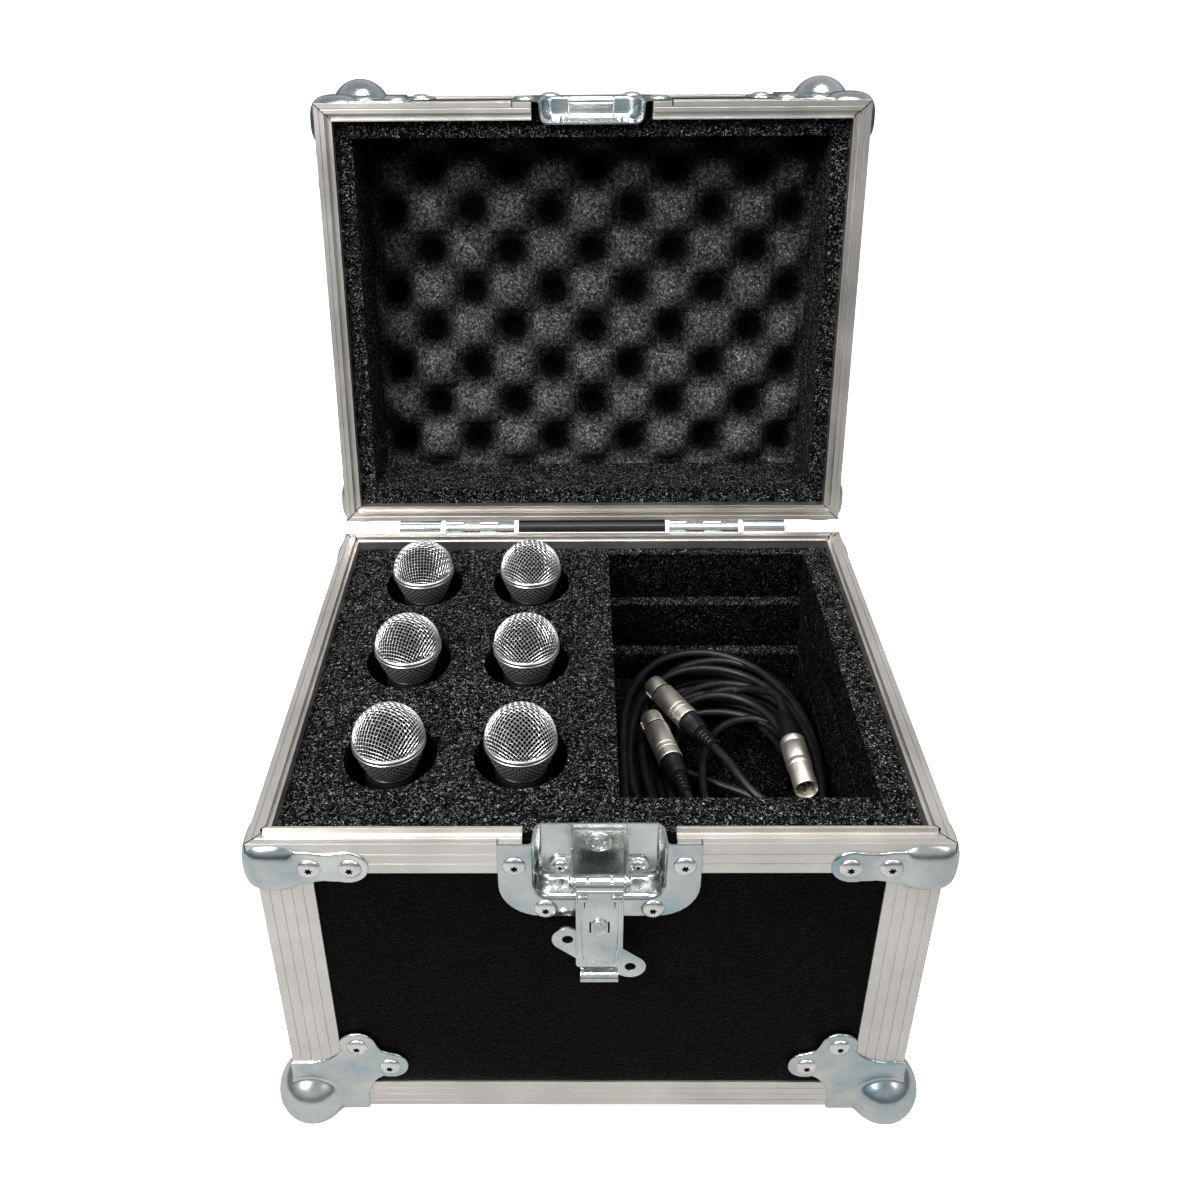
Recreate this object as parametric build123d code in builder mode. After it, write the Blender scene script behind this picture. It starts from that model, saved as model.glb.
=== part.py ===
from build123d import *
from math import atan, cos, degrees, pi, radians, sin, sqrt, tan
import os

# A flight case for six hand-held microphones and two cables.
# Modelling frame: X to the right, Y to the back, Z up. The origin is the centre of the plan,
# on the parting plane between base and lid. The lid is modelled closed and opened at the end.

# ---------------------------------------------------------------- driving dimensions, in millimetres
width = 430.0                 # over the rim extrusions
depth = 350.0
base_height = 264.0           # parting plane to the outside of the bottom edge angles
lid_height = 150.0
lid_open_angle = 98.0         # from closed to leaning on the hinge stops

panel_thickness = 7.0
angle_thickness = 1.5
angle_round = 1.35            # outer corner of an angle
corner_leg = 35.0             # legs of the vertical corner angles
edge_leg = 27.0               # legs of the bottom and top edge angles
groove_width = 0.9            # decorative grooves along the angles
groove_depth = 0.5
rim_proud = 2.5               # rim extrusion stands this far outside the angles
rim_leg = 25.0                # outer leg of the rim extrusion
rim_inner_wall = 2.5
rim_inner_leg = 7.7
rim_web = 2.0                 # thickness of the base rim's top web
lid_rim_web = 6.0             # the lid's web is deeper, to hold the groove
rim_grooves = (9.0, 17.0)     # down the outer leg
tongue_width = 3.0
tongue_side_angle = 80.0
tongue_height = 3.5
tongue_inset = 8.5            # outer face to the tongue
tongue_clearance = 0.7
mitre_gap = 0.3
parting_gap = 0.2             # between the two rims when the lid is shut

plate_thickness = 1.5         # pressed steel hardware
ball_radius = 26.0
ball_sides = 12               # the pressed balls are drawn many-sided
ball_latitudes = (-45, -15, 15, 45, 75)
ball_inboard = 10.0           # ball centre, inside each of the three faces
ball_flange_reach = 50.0
ball_flange_root = 13.0       # width of the straight end beside each lobe
ball_neck_depth = 2.0         # hollow between the end and the lobe, and between the two lobes
ball_lobe_radius = 12.0
ball_lobe_long = 68.0         # lobe centre from the corner, along one edge and the other
ball_lobe_short = 47.0
ball_lobe_corners = (-115, -66, -18, 31, 80)    # the lobe is drawn many-sided too
brace_bulge = 5.5             # rim brace dome, outside the rim faces
brace_dome_length = 40.0
brace_dome_height = 42.0
brace_corner = 9.0            # bevel on the dome's upright edge
brace_slope = 6.0             # and under the dome
brace_leg_length = 74.0
brace_leg_radius = 13.0
brace_leg_drop = 19.5         # leg centre line below the parting plane

dish_half_width = 41.5        # outside of the recessed pan
dish_depth = 17.0
base_dish_height = 46.5
lid_dish_height = 60.0
dish_corner = 12.0
dish_flange_half_width = 62.5
dish_flange_drop = 15.5       # flange below the pan
dish_flange_corner = 27.0
dish_rim_gap = 5.5            # rim extrusion stops this far from the pan
dish_floor_chamfer = 3.0

pin_forward = 6.5             # latch pivot, in front of the rim face
pin_drop = 26.5               # and below the parting plane
pin_radius = 2.5
rivet_head_thickness = 1.2
bracket_top = 4.0             # bracket base, below the parting plane
bracket_bottom = 42.0
bracket_nose = 5.0            # round the pin
ear_radius = 7.0
ear_drop = 34.0
boss_radius = 5.0
boss_drop = 11.0
running_clearance = 0.05
eye_radius = 5.5
cheek_gap = 1.3               # arm to bracket cheek
arm_half_width = 14.7
arm_thickness = 1.8
arm_corner = 2.5
eye_slot_forward = 1.65       # the gaps between the eye's tongues, behind the pin
wing_seat_depth = 1.17
pin_head_radius = 3.75
hook_thickness = 1.5
wing_thickness = 1.8
layer_gap = 0.3
hook_half_width = 12.0
hook_roll_radius = 4.0
hook_reach = 77.0             # pivot to hook roll, with the wing as it rests
hook_stroke = 4.0             # drawn in by half a turn of the wing
wing_rest_angle = 32.8        # wing below the horizontal at rest
wing_pivot_reach = 61.5       # latch pivot to wing pivot
wing_hole_spacing = 47.3
wing_hole_radius = 3.5
wing_lobe_radius = 10.0
wing_hub_radius = 13.0
guide_reach = 32.5            # latch pivot to the guide rivet
guide_radius = 3.0
guide_head_width = 10.0
guide_head_height = 13.4
wing_pivot_radius = 3.0
wing_pivot_rim = 2.0          # riveted rim round the wing's pivot
strike_radius = 2.5
strike_side_gap = 5.0         # hook to the strike's cheeks
strike_plate_height = 17.0
strike_plate_corner = 6.0

hinge_offset = 7.5            # hinge axis behind the rim face, on the parting plane
hinge_radius = 4.0
hinge_pin_radius = 1.75
knuckle_length = 15.0
knuckles = 4
knuckle_gap = 0.3
hinge_spacing = 196.0
hinge_leaf_height = 23.0

soft_clearance = 0.3
foam_drop = 8.0               # foam surface below the parting plane
foam_layer = 45.0
floor_layer_drop = 126.0      # compartment floor below the parting plane
bay_left = 14.0               # cable compartment
bay_width = 167.0
bay_front_wall = 46.0         # rim face to the compartment
bay_back_wall = 22.0
bay_step = 11.0               # each lower layer's back wall stands this much further forward
hole_radius = 31.2
grip_hole_radius = 19.0
hole_sides = 16
hole_left_x = -139.0
hole_column_spacing = 88.0
hole_front_inset = 85.0
hole_row_spacing = 100.0
lining_thickness = 15.5
crate_peak_height = 58.0      # parting plane to the peaks of the convoluted foam

microphone_sides = 12
head_radius = 24.0
head_height = 5.0             # widest line of the microphone head above the parting plane
band_height = 5.0
band_radius = 24.8
lower_grille_height = 24.0
basket_bulge = 21.8           # basket radius half-way down
collar_radius = 18.0
collar_height = 14.0
edge_break = 1.0
grip_top_radius = 17.5
grip_end_radius = 11.5
grip_length = 118.0
grip_end_height = 16.0
socket_radius = 8.5
socket_depth = 12.0

cable_diameter = 6.5
cable_sides = 8
coil_half_width = 81.5
coil_half_length = 126.0
coil_corner = 75.0
coil_thickness = 19.7
coil_front_gap = 4.0
shell_radius = 9.5
shell_length = 50.0
shell_back_wall = 6.0
boot_radius = 6.6
boot_end_radius = 4.4
boot_length = 34.0
insert_radius = 7.6
insert_length = 10.0
insert_recess = 5.0           # plug insert, behind the shell's open end
socket_insert_recess = 1.0
contact_circle = 4.0
contact_radius = 1.2
contact_length = 4.0
contact_sides = 8
lead_start = 20.0             # straight run of a lead where it leaves its boot
lead_sunk = 5.0               # its other end, inside the coil

# ---------------------------------------------------------------- derived places
skin = rim_proud + angle_thickness             # rim face to panel face
rim_width = skin + panel_thickness + rim_inner_wall
inner = skin + panel_thickness                 # rim face to the inside of a panel
half_width, half_depth = width / 2, depth / 2
front = -half_depth
pivot_y = front - pin_forward
pivot_z = -pin_drop
arm_y = pivot_y - eye_radius + arm_thickness   # back face of the arm plate
hook_y = arm_y + layer_gap + hook_thickness    # back face of the hook plate
wing_y = hook_y + layer_gap + wing_thickness   # back face of the wing
hook_open = hook_stroke * wing_rest_angle / 180
hook_shut = hook_stroke - hook_open
hinge_y = half_depth + hinge_offset
bay_right = bay_left + bay_width
bay_front = front + bay_front_wall
coil_y = bay_front + coil_front_gap + coil_half_length

left_plane, mid_plane = Plane.YZ, Plane.XZ     # the case's two planes of symmetry
pieces = []


def keep(part, label, lid=False):
    """Name a finished piece; lid pieces are turned open when everything is written."""
    part.label = label
    pieces.append((part, lid))


def four_corners(part):
    """The piece and its mirror images at the other three corners."""
    with BuildPart() as group:
        add(part)
        mirror(about=left_plane)
        mirror(about=mid_plane)
    return group.part


def turned_over(part):
    """The lid's version of a piece that was drawn for the base."""
    with BuildPart() as copy:
        add(part)
        mirror(about=Plane.XY.offset(parting_gap / 2), mode=Mode.REPLACE)
    return copy.part


def tier(wide, narrow, rise, sides):
    """A many-sided tier that stands on its wide end, drawn with flat faces."""
    slope = atan((wide - narrow) * cos(pi / sides) / rise)
    with BuildPart() as body:
        with BuildSketch():
            RegularPolygon(wide, sides)
        extrude(amount=rise, taper=degrees(slope))
    return body.part


def faceted(outline, sides):
    """A many-sided solid about the Z axis through (radius, height) pairs, lowest first."""
    with BuildPart() as body:
        for ends in zip(outline, outline[1:]):
            (wide, start), (narrow, end) = sorted(ends, reverse=True)
            with Locations(Location((0, 0, start), (0 if end > start else 180, 0, 0))):
                add(tier(wide, narrow, abs(end - start), sides))
    return body.part


def upright_plate(back):
    """Plane of a plate that stands across the front: sketches on it are (x, z)."""
    return Plane(origin=(0, back, 0), x_dir=(1, 0, 0), z_dir=(0, -1, 0))


# ---------------------------------------------------------------- panels
def wall_panel(run, height, web, opening_height):
    """An upright panel under the front or back rim, notched where a latch dish passes through."""
    top, bottom = -web, -(height - angle_thickness)
    with BuildPart() as panel:
        with BuildSketch(Plane.XZ.offset(half_depth - skin)):
            with Locations((0, (top + bottom) / 2)):
                Rectangle(run, top - bottom)
        extrude(amount=-panel_thickness)
        if opening_height:
            with BuildSketch(Plane.XZ.offset(half_depth)):
                with Locations((0, top - (opening_height + top) / 2)):
                    Rectangle(2 * dish_half_width, opening_height + top)
            extrude(amount=-inner, mode=Mode.SUBTRACT)
    return panel.part


def side_panels(height, web):
    top, bottom = -web, -(height - angle_thickness)
    with BuildPart() as panels:
        with BuildSketch(Plane.YZ.offset(half_width - inner)):
            with Locations((0, (top + bottom) / 2)):
                Rectangle(depth - 2 * inner, top - bottom)
        extrude(amount=panel_thickness)
        mirror(about=left_plane)
    return panels.part


def floor_panel(height):
    with BuildPart() as panel:
        with BuildSketch(Plane.XY.offset(-(height - angle_thickness))):
            Rectangle(width - 2 * inner, depth - 2 * inner)
        extrude(amount=panel_thickness)
    return panel.part


# ---------------------------------------------------------------- extrusions
def angle_profile(leg, grooves):
    """An L of two equal legs with its outer corner at the origin, grooved along both faces."""
    with BuildSketch(mode=Mode.PRIVATE) as profile:
        with BuildLine():
            Polyline((0, 0), (leg, 0), (leg, angle_thickness), (angle_thickness, angle_thickness),
                     (angle_thickness, leg), (0, leg), close=True)
        make_face()
        fillet(profile.vertices().sort_by_distance((0, 0))[0], radius=angle_round)
        spacing = leg / (grooves + 1)
        for groove in range(1, grooves + 1):
            with Locations((groove * spacing, groove_depth / 2)):
                Rectangle(groove_width, groove_depth, mode=Mode.SUBTRACT)
            with Locations((groove_depth / 2, groove * spacing)):
                Rectangle(groove_depth, groove_width, mode=Mode.SUBTRACT)
    return profile.sketch


def corner_angles(height):
    """Four upright angles, from the rim's outer leg down to the edge angles."""
    with BuildPart() as angle:
        with BuildSketch(Plane((-half_width + rim_proud, front + rim_proud, -rim_leg))):
            add(angle_profile(corner_leg, 4))
        extrude(amount=-(height - rim_leg - edge_leg))
    return four_corners(angle.part)


def member(profile, half_run, face):
    """A bar along X whose profile is drawn as (inward, up), mitred in plan at both ends.
    `face` is how far its outer face lies from the middle of the case."""
    with BuildPart() as bar:
        start = Plane(origin=(-half_run, -face, 0), x_dir=(0, 1, 0), z_dir=(1, 0, 0))
        with BuildSketch(start):
            add(profile)
        extrude(amount=2 * half_run)
        for end in (-1, 1):
            cut = Plane(origin=(end * (half_run - mitre_gap / 2), -face, 0), z_dir=(end, 1, 0))
            split(bisect_by=cut, keep=Keep.BOTTOM)
    return bar.part


def quarter_turn(part):
    """A side member, drawn along X, brought round to the right-hand side."""
    with BuildPart() as bar:
        add(part, rotation=(0, 0, 90))
    return bar.part


def edge_angles(height):
    """Four mitred angles round the bottom of a half."""
    with BuildSketch() as profile:
        with Locations((0, -height)):
            add(angle_profile(edge_leg, 3))
    long_bar = member(profile.sketch, half_width - rim_proud, half_depth - rim_proud)
    side_bar = quarter_turn(member(profile.sketch, half_depth - rim_proud, half_width - rim_proud))
    with BuildPart() as bars:
        add(long_bar)
        mirror(about=mid_plane)
        add(side_bar)
        mirror(side_bar, about=left_plane)
    return bars.part


def rim_profile(web, tongue, groove):
    """The channel that caps the panels, as (inward, up) below the parting plane."""
    with BuildSketch() as profile:
        with BuildLine():
            Polyline((0, 0), (rim_width, 0), (rim_width, -rim_inner_leg), (inner, -rim_inner_leg),
                     (inner, -web), (skin, -web), (skin, -rim_leg), (0, -rim_leg), close=True)
        make_face()
        for drop in rim_grooves:
            with Locations((groove_depth / 2, -drop)):
                Rectangle(groove_depth, groove_width, mode=Mode.SUBTRACT)
        with Locations((tongue_inset / 2, -groove_depth / 2)):
            Rectangle(groove_width, groove_depth, mode=Mode.SUBTRACT)
        middle = tongue_inset + tongue_width / 2
        if tongue:
            with Locations((middle, tongue_height / 2)):
                Trapezoid(tongue_width, tongue_height, tongue_side_angle)
        if groove:
            with Locations((middle, -(tongue_height + tongue_clearance) / 2)):
                Rectangle(tongue_width + 2 * tongue_clearance, tongue_height + tongue_clearance,
                          mode=Mode.SUBTRACT)
    return profile.sketch


def front_rim(profile):
    """The front rim in two lengths, either side of the latch dish."""
    with BuildPart() as rim:
        add(member(profile, half_width, half_depth))
        with Locations((0, front, 0)):
            Box(2 * (dish_half_width + dish_rim_gap), 4 * rim_width, 4 * rim_leg, mode=Mode.SUBTRACT)
    return rim.part


def back_rim(profile):
    with BuildPart() as rim:
        add(member(profile, half_width, half_depth), rotation=(0, 0, 180))
    return rim.part


def side_rims(profile):
    with BuildPart() as rims:
        add(quarter_turn(member(profile, half_depth, half_width)))
        mirror(about=left_plane)
    return rims.part


# ---------------------------------------------------------------- corner hardware
def ball_flange():
    """The outline of one face of a ball corner: two round lobes, alike about the diagonal.
    It starts one plate outside the corner, where the three faces' plates meet."""
    lobe = Vector(ball_lobe_long, ball_lobe_short)
    rounding = [lobe + Vector(cos(radians(angle)), sin(radians(angle))) * ball_lobe_radius
                for angle in ball_lobe_corners]
    root = Vector(ball_flange_reach, ball_flange_root)
    hollow = (root + rounding[0]) / 2 + Vector(-1, 1) * (ball_neck_depth / 2)
    valley = (rounding[-1].X + rounding[-1].Y) / 2 - ball_neck_depth
    half = [Vector(ball_flange_reach, -plate_thickness), root, hollow, *rounding]
    points = [(point.X, point.Y) for point in half]
    across = [(y, x) for x, y in reversed(points)]
    with BuildSketch(mode=Mode.PRIVATE) as outline:
        with BuildLine():
            Polyline((-plate_thickness, -plate_thickness), *points, (valley, valley), *across, close=True)
        make_face()
    return outline.sketch


def ball_corners(height):
    """Pressed corners with a domed ball, seated on the three faces of each bottom corner."""
    corner = Vector(-half_width + rim_proud, front + rim_proud, -height)
    faces = (Plane(corner, x_dir=(1, 0, 0), z_dir=(0, -1, 0)),
             Plane(corner, x_dir=(0, 0, 1), z_dir=(-1, 0, 0)),
             Plane(corner, x_dir=(0, 1, 0), z_dir=(0, 0, -1)))
    outward = Vector(-1, -1, -1)
    latitudes = [radians(angle) for angle in ball_latitudes]
    ball = faceted([(ball_radius * cos(angle), ball_radius * sin(angle)) for angle in latitudes], ball_sides)
    with BuildPart() as piece:
        for face in faces:
            with BuildSketch(face):
                add(ball_flange())
            extrude(amount=plate_thickness)
        with Locations(Plane(corner - outward * ball_inboard, z_dir=outward)):
            add(ball)
        with Locations(corner):
            Box(3 * ball_lobe_long, 3 * ball_lobe_long, 3 * ball_lobe_long,
                align=(Align.MIN, Align.MIN, Align.MIN), mode=Mode.SUBTRACT)
    return four_corners(piece.part)


def rim_braces():
    """Domed braces that wrap the rim's corners, with a riveted leg along each side."""
    rim_corner = Vector(-half_width, front, 0)
    angle_corner = rim_corner + Vector(rim_proud, rim_proud, -rim_leg)
    leg_run = brace_leg_length - brace_leg_radius
    with BuildPart() as brace:
        with Locations(rim_corner - Vector(brace_bulge, brace_bulge, 0)):
            Box(brace_dome_length, brace_dome_length, brace_dome_height,
                align=(Align.MIN, Align.MIN, Align.MAX))
        chamfer(brace.edges().filter_by(Axis.Z).sort_by_distance(rim_corner)[0], length=brace_corner)
        chamfer(brace.faces().sort_by(Axis.Z)[0].edges(), length=brace_slope)
        for face, along in ((Plane(rim_corner, x_dir=(1, 0, 0), z_dir=(0, -1, 0)), 1),
                            (Plane(rim_corner, x_dir=(0, -1, 0), z_dir=(-1, 0, 0)), -1)):
            with BuildSketch(face):
                with Locations((along * leg_run / 2, -brace_leg_drop)):
                    Rectangle(leg_run, 2 * brace_leg_radius)
                with Locations((along * leg_run, -brace_leg_drop)):
                    Circle(brace_leg_radius)
            extrude(amount=plate_thickness)
        with Locations(rim_corner):
            Box(width, depth, rim_leg, align=(Align.MIN, Align.MIN, Align.MAX), mode=Mode.SUBTRACT)
        with Locations(angle_corner):
            Box(width, depth, base_height, align=(Align.MIN, Align.MIN, Align.MAX), mode=Mode.SUBTRACT)
    return four_corners(brace.part)


# ---------------------------------------------------------------- latch dishes
def latch_dish(height):
    """A pressed pan let into the front, open at the parting plane, with a broad flange."""
    flange_bottom = height + dish_flange_drop

    def apron(plane, half_run, bottom, corner):
        """A panel that hangs from the parting plane, with its lower corners rounded."""
        with BuildSketch(plane, mode=Mode.PRIVATE) as outline:
            with Locations((0, -bottom / 2)):
                Rectangle(2 * half_run, bottom)
            fillet(outline.vertices().group_by(Axis.Y)[0], radius=corner)
        return outline.sketch

    rim_face = upright_plate(front)
    plate_face = upright_plate(front - plate_thickness)
    with BuildPart() as dish:
        with BuildSketch(rim_face):
            add(apron(Plane.XY, dish_half_width, height, dish_corner))
        extrude(amount=-dish_depth)
        with BuildSketch(plate_face):
            add(apron(Plane.XY, dish_flange_half_width, flange_bottom, dish_flange_corner))
        extrude(amount=-plate_thickness)
        # below the rim the flange is packed out to the panel
        with BuildSketch(rim_face):
            add(apron(Plane.XY, dish_flange_half_width, flange_bottom, dish_flange_corner))
            Rectangle(2 * width, 2 * rim_leg, mode=Mode.SUBTRACT)
        extrude(amount=-skin)
        with BuildSketch(plate_face):
            add(apron(Plane.XY, dish_half_width - plate_thickness, height - plate_thickness,
                      dish_corner - plate_thickness))
        extrude(amount=-dish_depth, mode=Mode.SUBTRACT)
        floor_edges = dish.faces().filter_by(Axis.Y).sort_by(Axis.Y)[-2].edges()
        chamfer(floor_edges.filter_by(lambda edge: edge.center().Z < -1), length=dish_floor_chamfer)
    return dish.part


# ---------------------------------------------------------------- latch
pan_back = front + dish_depth - plate_thickness     # face that the bracket and the strike stand on
cheek_inside = arm_half_width + cheek_gap
cheek_outside = cheek_inside + plate_thickness
pin_line = Plane((0, pivot_y, pivot_z), x_dir=(0, 1, 0), z_dir=(1, 0, 0))

with BuildPart() as latch_bracket:
    with BuildSketch(upright_plate(pan_back)):
        with Locations((0, -(bracket_top + bracket_bottom) / 2)):
            Rectangle(2 * cheek_outside, bracket_bottom - bracket_top)
        for side in (-1, 1):
            with Locations((side * (cheek_outside + ear_radius / 2), -ear_drop)):
                Rectangle(ear_radius, 2 * ear_radius)
            with Locations((side * (cheek_outside + ear_radius), -ear_drop)):
                Circle(ear_radius)
    extrude(amount=plate_thickness)
    with BuildSketch(Plane.YZ.offset(cheek_inside)):
        with BuildLine():
            Polyline((pan_back, -bracket_top), (front, -bracket_top), (pivot_y, pivot_z + bracket_nose),
                     (pivot_y - bracket_nose, pivot_z), (pivot_y, pivot_z - bracket_nose),
                     (pan_back, -bracket_bottom), close=True)
        make_face()
        with Locations((pivot_y, pivot_z)):
            Circle(bracket_nose)
    extrude(amount=plate_thickness)
    mirror(about=left_plane)
    with Locations(pin_line):
        Cylinder(pin_radius + running_clearance, 3 * cheek_outside, mode=Mode.SUBTRACT)
    with BuildSketch(upright_plate(pan_back - plate_thickness)):
        with Locations((0, -boss_drop)):
            Circle(boss_radius)
    extrude(amount=rivet_head_thickness)
keep(latch_bracket.part, "latch_bracket")

pin_half_length = cheek_outside + layer_gap
with BuildPart() as latch_pin:
    with Locations(pin_line):
        Cylinder(pin_radius, 2 * pin_half_length)
    head_middle = pin_half_length + rivet_head_thickness / 2
    with Locations(pin_line.offset(-head_middle), pin_line.offset(head_middle)):
        Cylinder(pin_head_radius, rivet_head_thickness)
keep(latch_pin.part, "latch_pin")

arm_reach = hook_reach - hook_shut - hook_roll_radius - layer_gap
wing_z = pivot_z - wing_pivot_reach
guide_z = pivot_z - guide_reach

with BuildPart() as latch_arm:
    with BuildSketch(upright_plate(arm_y)) as plate:
        with Locations((0, pivot_z - arm_reach / 2)):
            Rectangle(2 * arm_half_width, arm_reach)
        fillet(plate.vertices().group_by(Axis.Y)[0], radius=arm_corner)
    extrude(amount=arm_thickness)
    with Locations(pin_line):
        Cylinder(eye_radius, 2 * arm_half_width)
        Cylinder(pin_radius + running_clearance, 3 * arm_half_width, mode=Mode.SUBTRACT)
    # the eye is rolled from three tongues
    for end in (-1, 1):
        with Locations((end * arm_half_width / 2, pivot_y + eye_slot_forward, pivot_z)):
            Box(plate_thickness, 2 * eye_radius, 3 * eye_radius, mode=Mode.SUBTRACT)
    with BuildSketch(upright_plate(arm_y)):
        with Locations((0, guide_z)):
            Circle(guide_radius)
    extrude(amount=arm_thickness, mode=Mode.SUBTRACT)
    # blind seat for the wing's pivot, from behind
    with BuildSketch(upright_plate(arm_y)):
        with Locations((0, wing_z)):
            Circle(wing_pivot_radius + running_clearance)
    extrude(amount=wing_seat_depth, mode=Mode.SUBTRACT)
keep(latch_arm.part, "latch_arm")

with BuildPart() as latch_guide_rivet:
    with BuildSketch(upright_plate(arm_y - arm_thickness)):
        with Locations((0, guide_z)):
            SlotOverall(guide_head_height, guide_head_width, rotation=90)
    extrude(amount=rivet_head_thickness)
    # its shank passes through the arm and guides the hook's upper slot
    with BuildSketch(upright_plate(arm_y - arm_thickness)):
        with Locations((0, guide_z)):
            Circle(guide_radius)
    extrude(amount=-(arm_thickness + layer_gap + hook_thickness))
keep(latch_guide_rivet.part, "latch_guide_rivet")

hook_top = guide_z + guide_head_height
roll_z = pivot_z - hook_reach
roll_y = hook_y - hook_roll_radius
slot_shift = (hook_open - hook_shut) / 2
hook_slots = ((guide_z, guide_radius), (wing_z, wing_pivot_radius))

with BuildPart() as latch_hook:
    with BuildSketch(upright_plate(hook_y)):
        with Locations((0, (hook_top + roll_z) / 2)):
            Rectangle(2 * hook_half_width, hook_top - roll_z)
        for place, radius in hook_slots:
            with Locations((0, place + slot_shift)):
                SlotCenterToCenter(hook_stroke, 2 * (radius + layer_gap), rotation=90,
                                   mode=Mode.SUBTRACT)
    extrude(amount=hook_thickness)
    with Locations(Plane((0, roll_y, roll_z), x_dir=(0, 1, 0), z_dir=(1, 0, 0))):
        Cylinder(hook_roll_radius, 2 * hook_half_width)
        Cylinder(hook_roll_radius - hook_thickness, 3 * hook_half_width, mode=Mode.SUBTRACT)
keep(latch_hook.part, "latch_hook")

wing_back = Plane((0, wing_y, wing_z), x_dir=(1, 0, 0), z_dir=(0, -1, 0))
with BuildPart() as latch_wing:
    with BuildSketch(wing_back):
        with Locations((-wing_hole_spacing / 2, 0), (wing_hole_spacing / 2, 0)):
            Circle(wing_lobe_radius)
        Circle(wing_hub_radius)
        make_hull()
        with Locations((-wing_hole_spacing / 2, 0), (wing_hole_spacing / 2, 0)):
            Circle(wing_hole_radius, mode=Mode.SUBTRACT)
    extrude(amount=wing_thickness)
    with BuildSketch(wing_back.offset(wing_thickness)):
        Circle(wing_pivot_radius)
    extrude(amount=2 * layer_gap + hook_thickness + arm_thickness / 2)
    with BuildSketch(wing_back):
        Circle(wing_pivot_radius + wing_pivot_rim)
    extrude(amount=-rivet_head_thickness)
keep(latch_wing.part.rotate(Axis((0, wing_y, wing_z), (0, 1, 0)), wing_rest_angle), "latch_wing")

# the strike in the lid's dish: a bar between two cheeks, just under the hook's roll when it is drawn in
shut_roll_y = 2 * pivot_y - roll_y
shut_roll_z = pivot_z + hook_reach - hook_shut
shut_arm_y = 2 * pivot_y - arm_y + arm_thickness        # inner face of the arm when it is swung up
strike_y = shut_arm_y + layer_gap + strike_radius
bar_rise = sqrt((hook_roll_radius + strike_radius) ** 2 - (strike_y - shut_roll_y) ** 2)
strike_z = shut_roll_z - bar_rise - layer_gap
strike_inside = hook_half_width + strike_side_gap
strike_outside = strike_inside + plate_thickness
strike_nose = strike_radius + edge_break

with BuildPart() as lid_strike:
    with BuildSketch(upright_plate(pan_back)):
        with Locations((0, strike_z)):
            RectangleRounded(2 * (strike_outside + ear_radius), strike_plate_height, strike_plate_corner)
    extrude(amount=plate_thickness)
    with BuildSketch(Plane.YZ.offset(strike_inside)):
        with BuildLine():
            Polyline((pan_back, strike_z - 2 * strike_nose), (pan_back, strike_z + 2 * strike_nose),
                     (strike_y, strike_z + strike_nose), (strike_y, strike_z - strike_nose), close=True)
        make_face()
        with Locations((strike_y, strike_z)):
            Circle(strike_nose)
    extrude(amount=plate_thickness)
    mirror(about=left_plane)
    with Locations(Plane((0, strike_y, strike_z), x_dir=(0, 1, 0), z_dir=(1, 0, 0))):
        Cylinder(strike_radius, 2 * strike_outside)
keep(lid_strike.part, "lid_strike", lid=True)


# ---------------------------------------------------------------- hinges
def hinge_leaves(first, up):
    """Leaves on the rim's rear face with every second knuckle: `up` is +1 for the lid."""
    with BuildPart() as leaves:
        for centre in (-hinge_spacing / 2, hinge_spacing / 2):
            start = centre - knuckles * knuckle_length / 2
            with BuildSketch(Plane.XY.offset(up * knuckle_gap)):
                with Locations((centre, half_depth + plate_thickness / 2)):
                    Rectangle(knuckles * knuckle_length, plate_thickness)
            extrude(amount=up * hinge_leaf_height)
            for number in range(first, knuckles, 2):
                middle = start + (number + 0.5) * knuckle_length
                run = knuckle_length - knuckle_gap
                with BuildSketch(Plane.YZ.offset(middle - run / 2)):
                    with Locations((hinge_y, 0)):
                        Circle(hinge_radius)
                    with BuildLine():
                        Polyline((half_depth, up * knuckle_gap), (hinge_y, up * knuckle_gap),
                                 (hinge_y, up * hinge_radius), (half_depth, up * hinge_radius), close=True)
                    make_face()
                    with Locations((hinge_y, 0)):
                        Circle(hinge_pin_radius + running_clearance, mode=Mode.SUBTRACT)
                extrude(amount=run)
    return leaves.part


keep(hinge_leaves(0, -1), "base_hinge_leaves")
keep(hinge_leaves(1, 1), "lid_hinge_leaves", lid=True)

with BuildPart() as hinge_pins:
    for centre in (-hinge_spacing / 2, hinge_spacing / 2):
        with BuildSketch(Plane.YZ.offset(centre - knuckles * knuckle_length / 2)):
            with Locations((hinge_y, 0)):
                Circle(hinge_pin_radius)
        extrude(amount=knuckles * knuckle_length)
keep(hinge_pins.part, "hinge_pins")

# ---------------------------------------------------------------- the two halves of the shell
keep(wall_panel(width - 2 * skin, base_height, rim_web, base_dish_height), "base_front_panel")
keep(mirror(wall_panel(width - 2 * skin, base_height, rim_web, 0), about=mid_plane), "base_back_panel")
keep(side_panels(base_height, rim_web), "base_side_panels")
keep(floor_panel(base_height), "base_floor_panel")
keep(corner_angles(base_height), "base_corner_angles")
keep(edge_angles(base_height), "base_edge_angles")
base_profile = rim_profile(rim_web, True, False)
keep(front_rim(base_profile), "base_front_rim")
keep(back_rim(base_profile), "base_back_rim")
keep(side_rims(base_profile), "base_side_rims")
keep(ball_corners(base_height), "base_ball_corners")
keep(rim_braces(), "base_rim_braces")
keep(latch_dish(base_dish_height), "base_latch_dish")

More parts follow.
